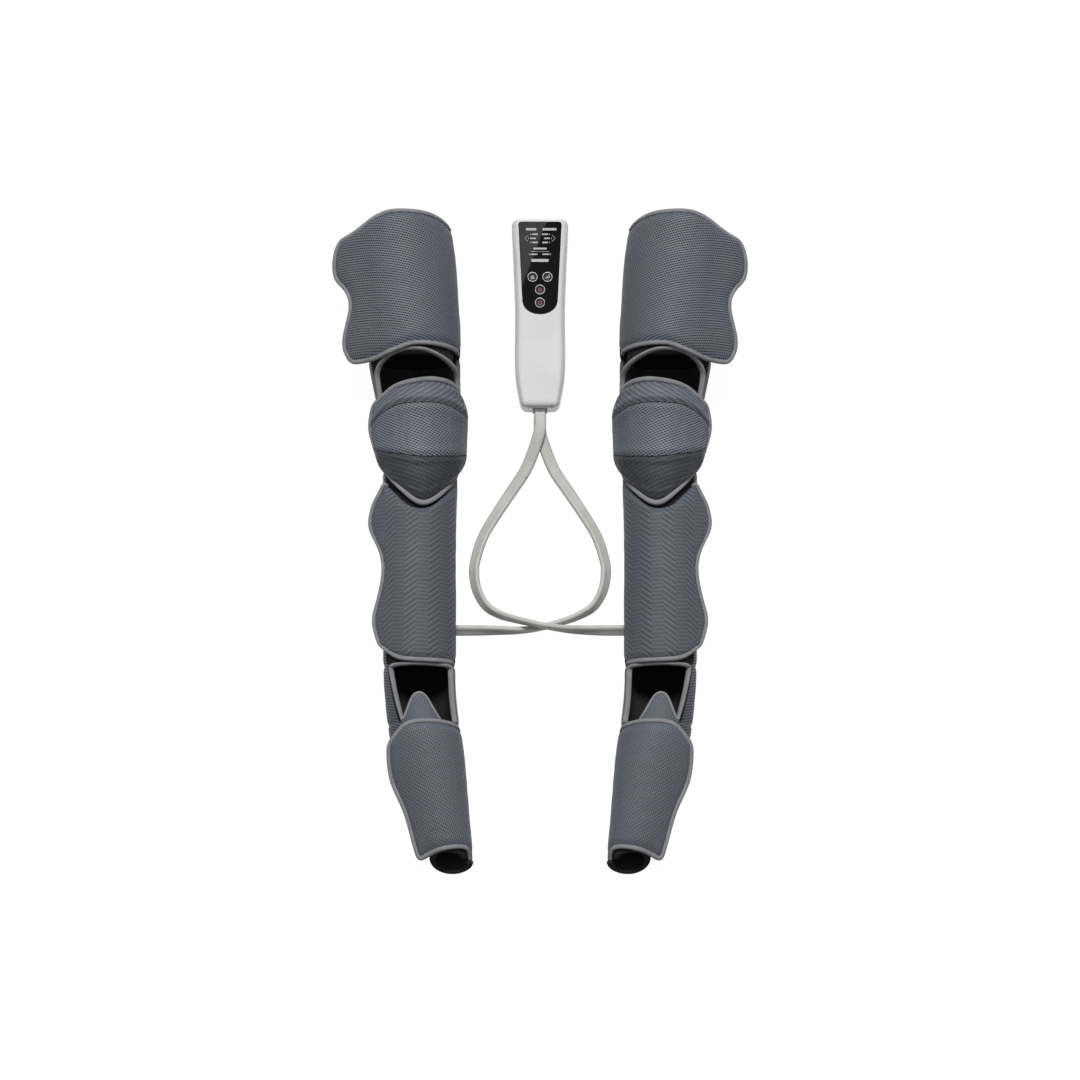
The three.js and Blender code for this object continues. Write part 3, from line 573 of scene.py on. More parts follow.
def soft_hose(hose):
    """Warm grey hose rubber with faint extrusion lines and handling marks."""
    f = Finish("soft_hose", uv="weave")
    drawn = f.noise(1.0, 2.0, at=f.vector("MULTIPLY", f.at, (8.0, 500.0, 1.0)))
    cloud = f.noise(40.0, 3.0)
    f.set(
        Base_Color=f.blend(f.spread(cloud, 0.25, 0.8), shade(hose.rubber, 0.92), shade(hose.rubber, 1.06)),
        Roughness=f.spread(cloud, 0.3, 0.7, 0.42, 0.55), Specular_IOR_Level=0.45,
    )
    f.bump(drawn, 0.15, 0.0003)
    return f.material


def moulded(name, tone, rough, coat=0.0, strength=0.06, specular=0.5):
    """Moulded plastic: faint flow of tone, fine texture and small scuffs."""
    f = Finish(name)
    flow, fine = f.noise(18.0, 2.0), f.noise(520.0, 2.0)
    scuffs = f.calc("ADD", f.calc("MULTIPLY", flow, 0.6), f.calc("MULTIPLY", fine, 0.4))
    f.set(
        Base_Color=f.blend(f.spread(flow, 0.3, 0.7), shade(tone, 0.97), shade(tone, 1.02)),
        Roughness=f.spread(scuffs, 0.3, 0.7, rough * 0.85, rough * 1.15),
        Coat_Weight=coat, Coat_Roughness=0.08, Specular_IOR_Level=specular,
    )
    f.bump(fine, strength, 0.0004)
    return f.material


def brushed_metal(name, tone, rough):
    """Plated or brushed metal with fine lines."""
    f = Finish(name)
    lines = f.noise(1.0, 2.0, at=f.vector("MULTIPLY", f.at, (900.0, 60.0, 900.0)))
    f.set(
        Base_Color=f.blend(lines, shade(tone, 0.85), shade(tone, 1.1)),
        Metallic=1.0, Roughness=f.spread(lines, 0.3, 0.7, rough * 0.8, rough * 1.2),
    )
    f.bump(lines, 0.1, 0.0002)
    return f.material


def circuit_laminate():
    """Green laminate with copper tracks under the lacquer."""
    f = Finish("circuit_laminate")
    tracks = add(f.tree, "ShaderNodeTexBrick", {
        "Vector": f.at, "Scale": 160.0, "Mortar Size": 0.03, "Color1": (0.012, 0.09, 0.035, 1),
        "Color2": (0.015, 0.11, 0.045, 1), "Mortar": (0.09, 0.2, 0.07, 1),
    })
    f.set(Base_Color=tracks.outputs[0], Roughness=f.spread(tracks.outputs[1], 0.0, 1.0, 0.4, 0.3))
    f.bump(tracks.outputs[1], 0.2, 0.0002)
    return f.material


MATERIALS = {}


def finishes(context):
    """All finishes, made once."""
    if not MATERIALS:
        soft, hose, hand = (getattr(context.scene, k) for k in ("boot_soft", "boot_hose", "boot_handset"))
        MATERIALS.update(
            mesh=mesh_fabric("spacer_mesh", soft, scale=0.88, slant=-0.5, bend=1.2, column=0.95),
            # A darker copy of the mesh for the back panels along the boot's sides: painted shade where
            # those sides turn away from the light.
            side_mesh=mesh_fabric("spacer_mesh_sides_painted_shade", soft, 0.62, slant=-0.2),
            calf_mesh=mesh_fabric("spacer_mesh_calf", soft, 0.84, scale=0.8, zigzag=1.3),
            foot_mesh=mesh_fabric("spacer_mesh_foot", soft, 0.96, scale=0.75, slant=0.7, open_share=0.45),
            band_mesh=mesh_fabric(
                "spacer_mesh_knee_band", soft, 1.05, scale=0.75, slant=-1.2, open_share=0.4,
            ),
            open_mesh=mesh_fabric("spacer_mesh_knee", soft, 1.16, scale=0.9, slant=-0.5, column=0.9),
            # The knee pad's lower panel: a darker mesh, partly its own darker tone and partly painted shade
            # where that panel slopes away from the light.
            dark_mesh=mesh_fabric("spacer_mesh_dark_and_painted_shade", soft, 0.28, scale=0.9, slant=0.9),
            tape=edge_tape(soft),
            lining=brushed_lining("brushed_lining", soft),
            # A lighter copy of the lining for the knee's back panel: painted light inside the shadowed gap
            # under the thigh flap.
            knee_lining=brushed_lining("brushed_knee_lining", soft, 4.0),
            hooks=hook_strip(),
            film=coated_film(soft),
            hose=soft_hose(hose),
            shell=moulded("gloss_white", hand.shell, 0.11, coat=0.3, strength=0.02),
            glass=moulded("smoked_panel", hand.glass, 0.025, strength=0.002, specular=0.1),
            button=moulded("button_black", hand.glass, 0.38, strength=0.03, specular=0.15),
            mark=moulded("printed_mark", hand.marks, 0.5),
            warm_mark=moulded("printed_warm_mark", hand.warm_marks, 0.5),
            ring=brushed_metal("bright_ring", hand.rings, 0.36),
            grey=moulded("grey_plastic", (0.26, 0.265, 0.26), 0.45, strength=0.12),
            dark=moulded("dark_plastic", (0.02, 0.02, 0.021), 0.4, strength=0.12),
            board=circuit_laminate(),
            plate=brushed_metal("plated_steel", (0.5, 0.51, 0.52), 0.32),
        )
    return MATERIALS


# Making pieces

# What a flap and a knee pad swell with: pressure, and how far it may move a point
FLAP_SWELL, PAD_SWELL = (60.0, 0.001), (200.0, 0.002)
CLOTH_MASS = 0.001
CLOTH_QUALITY = 6
SWELL_FRAMES = 8
FLAP_CROWN, PAD_CROWN, PAD_DOME = 0.012, 0.024, 0.005
# The knee pad's seams: share up, depth, breadth and the height of the ridge beside it
PAD_SEAMS = (1 / 3, 0.0030, 0.0026, 0.0), (2 / 3, 0.0030, 0.0022, 0.0012)
PAD_TAPE_WIDTH = 0.0066
RIM_TAPE_WIDTH, RIM_TAPE_PROUD = 0.0042, 0.0008
BEND_TILT = radians(75)
BEND_SHARE = 0.55
MERGED = 1e-6
COVER_INSET = 0.0016
PUFF_START = 0.004
STITCH_IN, STITCH_BREADTH, STITCH_DEPTH = 0.0065, 0.0016, 0.0012
RIDGE_IN, RIDGE_BREADTH = 0.0052, 0.0022
TAPE_OVER = 0.0006
TAPE_AROUND = 14


def placed(name, mesh):
    """A new object of the scene from a bmesh."""
    data = bpy.data.meshes.new(name)
    mesh.to_mesh(data)
    piece = bpy.data.objects.new(name, data)
    bpy.context.scene.collection.objects.link(piece)
    return piece


def finished(name, mesh, body, slot, *materials, replaces=(), fill=None, sharp=50, bend=None):
    """Turns a bmesh into a piece that rides on a body, or, given a bend, is left in place without a body.
    """
    made = finishes(bpy.context)
    for face in mesh.faces:
        face.smooth = True
    for edge in mesh.edges:
        if edge.calc_face_angle(0) > radians(sharp):
            edge.smooth = False
    piece = placed(name, mesh)
    mesh.free()
    for material in materials:
        piece.data.materials.append(made[material])
    if bend:
        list(bend)
        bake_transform(piece)
    else:
        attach(piece, body)
    if replaces:
        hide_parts(*replaces)
    return piece


def both_sides(name, mesh, body, slot, *materials, replaces=(), fill=None, bend=None):
    """A piece for the left boot and its mirror image for the right one."""
    twin = mesh.copy()
    bmesh.ops.scale(twin, vec=(-1, 1, 1), verts=twin.verts)
    bmesh.ops.recalc_face_normals(twin, faces=twin.faces)
    for side, form, turned in zip(SIDES, (mesh, twin), (1, -1)):
        rides = body if body == "root" else f"{side}_{body}"
        nodes = [f"{side}_{node}" for node in replaces]
        bends = bend and [Vector((point.x * turned, point.y, point.z)) for point in bend]
        finished(f"{side}_{name}", form, rides, slot, *materials, replaces=nodes, fill=fill, bend=bends)


def panel(columns, rows, under, crown, weave, zone=None, loose=None, swell=None):
    """A closed padded panel: a grid raised from its lining to its crown, with the weave's coordinates."""
    mesh = bmesh.new()
    bmesh.ops.create_grid(mesh, x_segments=columns, y_segments=rows, size=0.5)
    spot = mesh.verts.layers.float_vector.new("spot")
    for vert in mesh.verts:
        vert[spot] = (vert.co.x + 0.5, vert.co.y + 0.5, 0)
    for face in mesh.faces:
        face.material_index = 1
    raised = bmesh.ops.extrude_face_region(mesh, geom=mesh.faces[:], use_keep_orig=True)
    tops = {item for item in raised["geom"] if isinstance(item, bmesh.types.BMVert)}
    for item in raised["geom"]:
        if isinstance(item, bmesh.types.BMFace):
            middle = sum((Vector(vert[spot]) for vert in item.verts), Vector()) / len(item.verts)
            item.material_index = zone(middle.x, middle.y) if zone else 0
    cloth = mesh.loops.layers.uv.new("weave")
    for vert in mesh.verts:
        u, v, _ = vert[spot]
        vert.co = crown(u, v) if vert in tops else under(u, v)
    for face in mesh.faces:
        for loop in face.loops:
            u, v, _ = loop.vert[spot]
            loop[cloth].uv = weave(u, v)
    if swell:
        held = [1 - loose(*vert[spot][:2]) if vert in tops else 1.0 for vert in mesh.verts]
        swollen(mesh, held, *swell)
    mesh.verts.layers.float_vector.remove(spot)
    bmesh.ops.recalc_face_normals(mesh, faces=mesh.faces)
    return mesh


def swollen(mesh, held, pressure, cap):
    """Lets the loose part of a panel swell as cloth under pressure, and keeps the form it takes."""
    bmesh.ops.recalc_face_normals(mesh, faces=mesh.faces)
    scene = bpy.context.scene
    piece = placed("settling", mesh)
    group = piece.vertex_groups.new(name="held")
    for index, weight in enumerate(held):
        group.add([index], weight, "REPLACE")
    cloth = piece.modifiers.new("cloth", "CLOTH")
    settings = cloth.settings
    settings.vertex_group_mass = group.name
    settings.mass = CLOTH_MASS
    settings.quality = CLOTH_QUALITY
    settings.use_pressure = True
    settings.uniform_pressure_force = pressure
    settings.effector_weights.gravity = 0.0
    cloth.collision_settings.use_collision = False
    for frame in range(1, SWELL_FRAMES + 1):
        scene.frame_set(frame)
    depsgraph = bpy.context.evaluated_depsgraph_get()
    shape = bpy.data.meshes.new_from_object(piece.evaluated_get(depsgraph))
    for vert, spot in zip(mesh.verts, shape.vertices):
        move = spot.co - vert.co
        vert.co += move * min(1.0, cap / max(move.length, 1e-9))
    bpy.data.objects.remove(piece)
    bpy.data.meshes.remove(shape)
    scene.frame_set(1)


def tube(steps, around, place, weave):
    """A closed tube: a grid rolled up round a path, its seam joined and its ends filled."""
    mesh = bmesh.new()
    bmesh.ops.create_grid(mesh, x_segments=steps, y_segments=around, size=0.5)
    cloth = mesh.loops.layers.uv.new("weave")
    for face in mesh.faces:
        for loop in face.loops:
            loop[cloth].uv = weave(loop.vert.co.x + 0.5, loop.vert.co.y + 0.5)
    for vert in mesh.verts:
        vert.co = place(vert.co.x + 0.5, vert.co.y + 0.5)
    bmesh.ops.remove_doubles(mesh, verts=mesh.verts, dist=MERGED)
    bmesh.ops.holes_fill(mesh, edges=[e for e in mesh.edges if e.is_boundary], sides=0)
    bmesh.ops.recalc_face_normals(mesh, faces=mesh.faces)
    return mesh


def squared(value, power=0.72):
    return (1 if value >= 0 else -1) * abs(value) ** power


def bound(line, low, high, point, width):
    """Edge tape folded over an edge, along a line in the flat."""
    inner = inset(line, width)
    outer = inset(line, -TAPE_OVER)

    def place(u, v):
        angle = 2 * pi * v
        near, far = at_share(outer, u), at_share(inner, u)
        flat = near.lerp(far, (1 - squared(cos(angle))) / 2)
        depth = (low + high) / 2 + (high - low) / 2 * squared(sin(angle))
        return point(flat.y, flat.x, depth)

    run = sum((b - a).length for a, b in zip(line, line[1:]))
    return tube(len(line) - 1, TAPE_AROUND, place, lambda u, v: (u * run, v * (2 * width + 0.01)))


def softness(a, b, amount, seed):
    """Slow, uneven rise and fall of a padded surface."""
    slow, quick = (noise.noise(Vector((a * k, b * k, seed + step))) for k, step in ((22, 0), (60, 7)))
    return amount * (slow + 0.5 * quick)


def flap_panel(flap, columns, rows, crown_width, dome=0.0, seams=(), zone=None, seed=0.0, swell=None):
    """A flap's padded cover: a net inside its rounded outline, puffed up between its seams."""
    rim = inset(flap.rim, COVER_INSET)
    low_corner, high_corner = flap.corners()
    bottom, free, top = rim[: low_corner + 1], rim[low_corner : high_corner + 1], rim[high_corner:][::-1]
    start, end, far_low, far_high = bottom[0], top[0], bottom[-1], top[-1]

    def warped(u, v):
        """The share up at which a row of the net follows the flap's seams."""
        lines = [smooth(curve, u) for curve in flap.curves]
        marks = [(line - lines[0]) / (lines[-1] - lines[0]) for line in lines]
        k = min(sum(v >= band for band in flap.bands[1:-1]), len(marks) - 2)
        share = (v - flap.bands[k]) / (flap.bands[k + 1] - flap.bands[k])
        return mix(marks[k], marks[k + 1], share)

    def flat(u, v):
        v = warped(u, v)
        up_and_down = at_share(bottom, u) * (1 - v) + at_share(top, u) * v
        across = start.lerp(end, v) * (1 - u) + at_share(free, v) * u
        corners = (start * (1 - u) + far_low * u) * (1 - v) + (end * (1 - u) + far_high * u) * v
        return up_and_down + across - corners

    height, wide = (end - start).length, (far_low - start).length

    def fill(u, v):
        level = warped(u, v)
        near = min(level * height, (1 - level) * height, (1 - u) * wide)
        puff = sqrt(1 - (1 - min(max(near - PUFF_START, 0.0) / crown_width, 1.0)) ** 2)
        stitch = exp(-((near - STITCH_IN) / STITCH_BREADTH) ** 2) * STITCH_DEPTH
        over, station = flat(u, v)
        rise = dome * sin(pi * u) * sin(pi * v)
        dip = 0.0
        for at, depth, breadth, ridge in seams:
            away = (level - warped(u, at)) * height
            beside = ridge * exp(-((away - RIDGE_IN) / RIDGE_BREADTH) ** 2)
            dip += ease(u, 0.0, 0.14) * (depth * exp(-(away / breadth) ** 2) - beside)
        thick = mix(flap.edge - 0.0012, flap.thickness + rise, puff) - stitch - dip
        return thick + softness(over, station, 0.0009, seed) * puff

    def crown(u, v):
        over, station = flat(u, v)
        return flap_point(station, over, FLAP_DEPTH + fill(u, v))

    def under(u, v):
        over, station = flat(u, v)
        return flap_point(station, over, FLAP_DEPTH + 0.0003)

    def looseness(u, v):
        """How loose the fabric is: held along the tape and at the seams."""
        level = warped(u, v)
        near = min(level * height, (1 - level) * height, (1 - u) * wide, u * wide + 0.004)
        for at, *_ in seams:
            near = min(near, abs(level - warped(u, at)) * height + 0.004)
        return ease(near, 0.007, 0.012)

    mesh = panel(columns, rows, under, crown, lambda u, v: flat(u, v)[:], zone, looseness, swell)
    return mesh, crown


def fold_bend(flap):
    """Where the left boot's flap starts and ends its bend when it folds open: near its fold line."""
    ends = flap.curves[0], flap.curves[-1]
    low, high = (flap_point(smooth(curve, 0), 0, FLAP_DEPTH) for curve in ends)
    line = (high - low).normalized()
    way = Vector((-cos(BEND_TILT), 0, sin(BEND_TILT)))
    way = (way - line * way.dot(line)).normalized()
    return low, low + way * BEND_SHARE * oval(smooth(flap.curves[0], 0))[2]


def wrap_panel(columns, rows, low, high, first, last, inner=0.0, outer=WALL, puff=0.0006, seed=0.0,
               crown_width=0.01, zone=None):
    """A back panel between two rims, from a first turn round underneath to a last one."""

    def spot(u, v):
        turn = mix(first(v), last(v), u)
        return mix(low(turn), high(turn), v), turn

    def crown(u, v):
        station, turn = spot(u, v)
        near = min(v, 1 - v) * (high(turn) - low(turn))
        edge = sqrt(max(0.0, 1 - (1 - min(near / crown_width, 1.0)) ** 2))
        under_floor = ease(sin(radians(turn)), -0.95, -0.5)
        rise = softness(turn * 0.001, station, puff, seed) * under_floor * edge
        return back_point(station, turn, outer - 0.0016 * (1 - edge) + rise)

    def under(u, v):
        station, turn = spot(u, v)
        return back_point(station, turn, inner)

    def weave(u, v):
        station, turn = spot(u, v)
        return turn * PER_TURN, station

    by_turn = zone and (lambda u, v: zone(spot(u, v)[1]))
    return panel(columns, rows, under, crown, weave, by_turn)


def fixed(value):
    return lambda _: value


def lining_up_to(limit):
    """The lining's place in the materials for turns below a limit, and the mesh's for the rest."""
    return lambda turn: 1 if turn < limit else 0


def turn_point(station, over, depth):
    """A point of a back panel, from its length over in the flat."""
    return back_point(station, over / PER_TURN, depth)


def layered_point(station, over, depth):
    """The same, climbing to the flap's own layer towards the fold."""
    return turn_point(station, over, depth + FLAP_DEPTH * (1 - ease(over / PER_TURN, 18, 60)))


def turn_line(spots):
    """A line over a back panel, from (turn, station) spots, in the flat and rounded at its corners."""
    line = respaced([Vector((turn * PER_TURN, station)) for turn, station in spots], 160)
    for _ in range(30):
        line = softened(line)
    return line


# Operators

CAMERA_TILT = radians(13)
CAMERA_TARGET = Vector((0, 0.008, 0))
CAMERA_DISTANCE, CAMERA_LENS, CAMERA_SENSOR = 8.4, 200, 36
FLOOR_HALF, FLOOR_LEVEL = 12, -0.0004
FLOOR_GLOW, FLOOR_SHARE = 1.24, 0.8
KEY_PLACE, KEY_TILT, KEY_ENERGY, KEY_ANGLE = (0.0, 1.8, 2.4), radians(-27), 2.1, radians(14)
CARD_PLACE, CARD_GLOW = (0.0, 0.691, 1.042), 6.5
CARD_LEFT, CARD_TOP_RIGHT, CARD_LOW_RIGHT, CARD_TALL = -0.05, 0.0115, -0.0316, 0.118
ROOM_LIGHT = 0.13


def mirrored(tree):
    """1 for what shows in a mirror."""
    return add(tree, "ShaderNodeLightPath").outputs["Is Glossy Ray"]


def seen(tree):
    """1 for what the camera sees, straight, mirrored or through glass."""
    path = add(tree, "ShaderNodeLightPath").outputs
    beyond = calc(tree, "MAXIMUM", path["Is Glossy Ray"], path["Is Transmission Ray"])
    return calc(tree, "MAXIMUM", path["Is Camera Ray"], beyond)


class OBJECT_OT_boot_stage(bpy.types.Operator):
    """Set up the pale floor, the soft light and the camera"""

    bl_idname = "object.boot_stage"
    bl_label = "Stage"

    def execute(self, context):
        scene = context.scene
        scene.view_settings.view_transform = "Standard"
        camera = bpy.data.objects.new("camera", bpy.data.cameras.new("camera"))
        scene.collection.objects.link(camera)
        back = Vector((0, -sin(CAMERA_TILT), cos(CAMERA_TILT)))
        camera.location = CAMERA_TARGET + back * CAMERA_DISTANCE
        camera.rotation_euler = (CAMERA_TILT, 0, 0)
        camera.data.lens = CAMERA_LENS
        camera.data.sensor_width = CAMERA_SENSOR
        scene.camera = camera
        self.add_floor()
        self.add_light(scene)
        self.add_card()
        self.add_world(scene)
        return {"FINISHED"}

    def sheet(self, name, size, place):
        """A flat square of the stage."""
        mesh = bmesh.new()
        bmesh.ops.create_grid(mesh, x_segments=1, y_segments=1, size=size)
        made = placed(name, mesh)
        mesh.free()
        made.location = place
        return made

    def light_up(self, sheet, name, strength, share, plain, **colour):
        """A material that glows for a share of the rays and is plain for the rest."""
        material = bpy.data.materials.new(name)
        material.use_nodes = True
        tree = material.node_tree
        tree.nodes.clear()
        rest = add(tree, plain, colour).outputs[0]
        glow = add(tree, "ShaderNodeEmission", {"Strength": strength}).outputs[0]
        shown = add(tree, "ShaderNodeMixShader", {0: share(tree), 1: rest, 2: glow})
        add(tree, "ShaderNodeOutputMaterial", {0: shown.outputs[0]})
        sheet.data.materials.append(material)

    def add_floor(self):
        floor = self.sheet("floor", FLOOR_HALF, (0, 0, FLOOR_LEVEL))
        self.light_up(
            floor, "pale_floor", FLOOR_GLOW, lambda tree: calc(tree, "MULTIPLY", seen(tree), FLOOR_SHARE),
            "ShaderNodeBsdfDiffuse", Color=(0.25, 0.25, 0.25, 1),
        )

    def add_light(self, scene):
        """A broad, distant light over the head of the pair."""
        lamp = bpy.data.lights.new("key", "SUN")
        lamp.energy = KEY_ENERGY
        lamp.angle = KEY_ANGLE
        light = bpy.data.objects.new("key", lamp)
        light.location = KEY_PLACE
        light.rotation_euler = (KEY_TILT, 0, 0)
        scene.collection.objects.link(light)

    def add_card(self):
        """A small bright card whose slanted edge the front panel mirrors."""
        card = self.sheet("card", 0.5, CARD_PLACE)
        for vert in card.data.vertices:
            x, y, _ = vert.co
            right = CARD_TOP_RIGHT if y > 0 else CARD_LOW_RIGHT
            vert.co = (CARD_LEFT if x < 0 else right, y * CARD_TALL, 0)
        self.light_up(card, "card_light", CARD_GLOW, mirrored, "ShaderNodeBsdfTransparent")

    def add_world(self, scene):
        world = bpy.data.worlds.new("studio")
        scene.world = world
        world.use_nodes = True
        tree = world.node_tree
        tree.nodes.clear()
        strength = spread(tree, seen(tree), 0.0, 1.0, ROOM_LIGHT, 1.0)
        ground = add(tree, "ShaderNodeBackground", {"Color": (1, 1, 1, 1), "Strength": strength})
        add(tree, "ShaderNodeOutputWorld", {0: ground.outputs[0]})


# Points of a hose's route: X, Y, Z in metres and roll in degrees
LEFT_ROUTE = [
    (0, 0.1867, 0.0254, 0), (0, 0.165, 0.0252, 0), (-0.004, 0.146, 0.0226, 0), (-0.019, 0.108, 0.0135, 6),
    (-0.0395, 0.0765, 0.008, 15), (-0.059, 0.0465, 0.0074, 25), (-0.079, 0.012, 0.008, 32),
    (-0.09, -0.022, 0.0084, 38), (-0.092, -0.043, 0.0087, 42), (-0.0875, -0.0675, 0.009, 50),
    (-0.075, -0.089, 0.0092, 60), (-0.057, -0.101, 0.0115, 72), (-0.036, -0.1095, 0.0195, 82),
    (0, -0.1196, 0.028, 90), (0.03, -0.1234, 0.022, 82), (0.057, -0.1234, 0.0125, 66),
    (0.086, -0.1234, 0.009, 52), (0.108, -0.1234, 0.0088, 50), (0.1257, -0.1234, 0.0088, 50),
]
RIGHT_HEIGHTS = (
    0.0168, 0.0164, 0.014, 0.0085, 0.0066, 0.0074, 0.008, 0.0084, 0.0087, 0.009,
    0.0092, 0.0094, 0.0095, 0.0092, 0.0092, 0.0092, 0.009, 0.0088, 0.0088,
)
RIGHT_ROUTE = [(-x, y, z, -roll) for (x, y, _, roll), z in zip(LEFT_ROUTE, RIGHT_HEIGHTS)]
HOSE_STEPS, HOSE_AROUND = 216, 40
GROOVE_DEPTH, GROOVE_BREADTH = 0.0007, 0.0012


class OBJECT_OT_boot_hoses(bpy.types.Operator):
    """Lay the two flat hoses from the handset to the boots"""

    bl_idname = "object.boot_hoses"
    bl_label = "Hoses"

    def execute(self, context):
        for name, route in (("left_hose_run", LEFT_ROUTE), ("right_hose_run", RIGHT_ROUTE)):
            self.lay(context.scene.boot_hose, name, route)
        return {"FINISHED"}

    def spot(self, route, place):
        """Point, way and roll on the route's smooth line."""
        last = len(route) - 1
        k = min(int(place), last - 1)
        t = place - k
        points = [Vector(row[:3]) for row in route]
        before = points[k - 1] if k else points[0] * 2 - points[1]
        after = points[k + 2] if k + 2 <= last else points[last] * 2 - points[last - 1]
        a, b = points[k], points[k + 1]
        start, end = (b - before) / 2, (after - a) / 2
        square, cube = (b - a) * 3 - start * 2 - end, (a - b) * 2 + start + end
        point = a + start * t + square * t**2 + cube * t**3
        way = start + square * 2 * t + cube * 3 * t**2
        return point, way.normalized(), radians(mix(route[k][3], route[k + 1][3], t))

    def lay(self, hose, name, route):
        last = len(route) - 1
        spots = [self.spot(route, last * k / HOSE_STEPS) for k in range(HOSE_STEPS + 1)]
        path = [point for point, _, _ in spots]
        run = sum((b - a).length for a, b in zip(path, path[1:]))
        radius = hose.thickness / 2
        flat = hose.width / 2 - radius

        def place(u, v):
            point, way, roll = spots[round(u * HOSE_STEPS)]
            across = way.cross(Vector((0, 0, 1))).normalized()
            across = Matrix.Rotation(roll, 3, way) @ across
            over = across.cross(way)
            angle = 2 * pi * v
            side = squared(cos(angle), 0.55) * (flat + radius)
            low = sqrt(max(radius**2 - max(abs(side) - flat, 0.0) ** 2, 0.0))
            groove = GROOVE_DEPTH * exp(-(side / GROOVE_BREADTH) ** 2)
            return point + across * side + over * (1 if sin(angle) >= 0 else -1) * max(low - groove, 0.0)

        mesh = tube(HOSE_STEPS, HOSE_AROUND, place, lambda u, v: (u * run, v * 0.04))
        piece = finished(name, mesh, "root", "hose_rubber", "hose", replaces=[name.replace("_run", "")])
        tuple(route[0][:3])


class OBJECT_OT_boot_back_panels(bpy.types.Operator):
    """Sew the back panels of both boots, with their black lining"""

    bl_idname = "object.boot_back_panels"
    bl_label = "Back panels"

    def execute(self, context):
        wing, fold = fixed(WING_TURN), fixed(360)
        heel_start, ankle = (lambda v: mix(132, 150, v)), fixed(ANKLE_START)
        # Columns, rows, low and high rim, first and last turn, and the turn that the lining reaches
        specs = {
            "thigh": (114, 30, knee_arch, thigh_rim, wing, fold, 162),
            "knee": (40, 24, fixed(KNEE_START), fixed(THIGH_START), fixed(162), fold, 0),
            "calf": (60, 40, fixed(CALF_START), fixed(KNEE_START), wing, fold, 152),
            "heel": (44, 16, ankle, fixed(CALF_START), heel_start, fixed(378), 0),
            "foot": (60, 30, toe_rim, ankle, wing, fold, 118),
        }
        for seed, (zone, (*form, covered)) in enumerate(specs.items()):
            mesh = wrap_panel(*form, seed=seed * 3.7, zone=lining_up_to(covered))
            # The knee's back panel takes the lighter lining, painted light in the shadowed gap.
            inside = "knee_lining" if zone == "knee" else "lining"
            # The back panels wear the darker side copy of the mesh, which is painted shade.
            both_sides(f"{zone}_wrap", mesh, "root", "mesh_fabric", "side_mesh", inside,
                       replaces=[f"{zone}_back"], fill=0.4)
        return {"FINISHED"}


class OBJECT_OT_boot_flaps(bpy.types.Operator):
    """Sew the padded front flaps of thigh, calf and foot"""

    bl_idname = "object.boot_flaps"
    bl_label = "Front flaps"

    def execute(self, context):
        for zone, flap, columns, rows, cloth in (
            ("thigh", THIGH_FLAP, 72, 60, "mesh"), ("calf", CALF_FLAP, 60, 84, "calf_mesh"),
            ("foot", FOOT_FLAP, 56, 60, "foot_mesh"),
        ):
            mesh, _ = flap_panel(flap, columns, rows, FLAP_CROWN, seed=len(zone) * 5.3, swell=FLAP_SWELL)
            both_sides(f"{zone}_flap_cover", mesh, f"{zone}_flap_body", "mesh_fabric", cloth, "lining",
                       replaces=[f"{zone}_flap"], fill=0.45, bend=fold_bend(flap))
        return {"FINISHED"}


class OBJECT_OT_boot_knee_pads(bpy.types.Operator):
    """Sew the domed knee pads in three panels"""

    bl_idname = "object.boot_knee_pads"
    bl_label = "Knee pads"

    def execute(self, context):
        mesh, crown = flap_panel(
            KNEE_PAD, 64, 96, PAD_CROWN, dome=PAD_DOME, seed=4.1, seams=PAD_SEAMS, swell=PAD_SWELL,
            # The lower third wears the darker mesh, partly painted shade.
            zone=lambda u, v: 3 if v < 1 / 3 else 2 if v < 2 / 3 else 0,
        )
        bend = fold_bend(KNEE_PAD)
        both_sides("knee_pad_cover", mesh, "knee_pad_body", "mesh_fabric", "band_mesh", "lining",
                   "open_mesh", "dark_mesh", replaces=["knee_pad"], fill=0.8, bend=bend)
        for name, level in (("low", 1 / 3), ("high", 2 / 3)):
            seam = self.seam(crown, level)
            both_sides(f"knee_{name}_seam", seam, "knee_pad_body", "black_lining", "lining", bend=bend)
        return {"FINISHED"}

    def seam(self, crown, level):
        """The welt of a seam across the pad, at a share of its height."""

        def place(u, v):
            angle = 2 * pi * v
            return crown(mix(0.035, 0.992, u), level) + Vector((0, cos(angle), sin(angle) + 0.3)) * 0.0007

        return tube(90, 8, place, lambda u, v: (u * 0.2, v * 0.004))


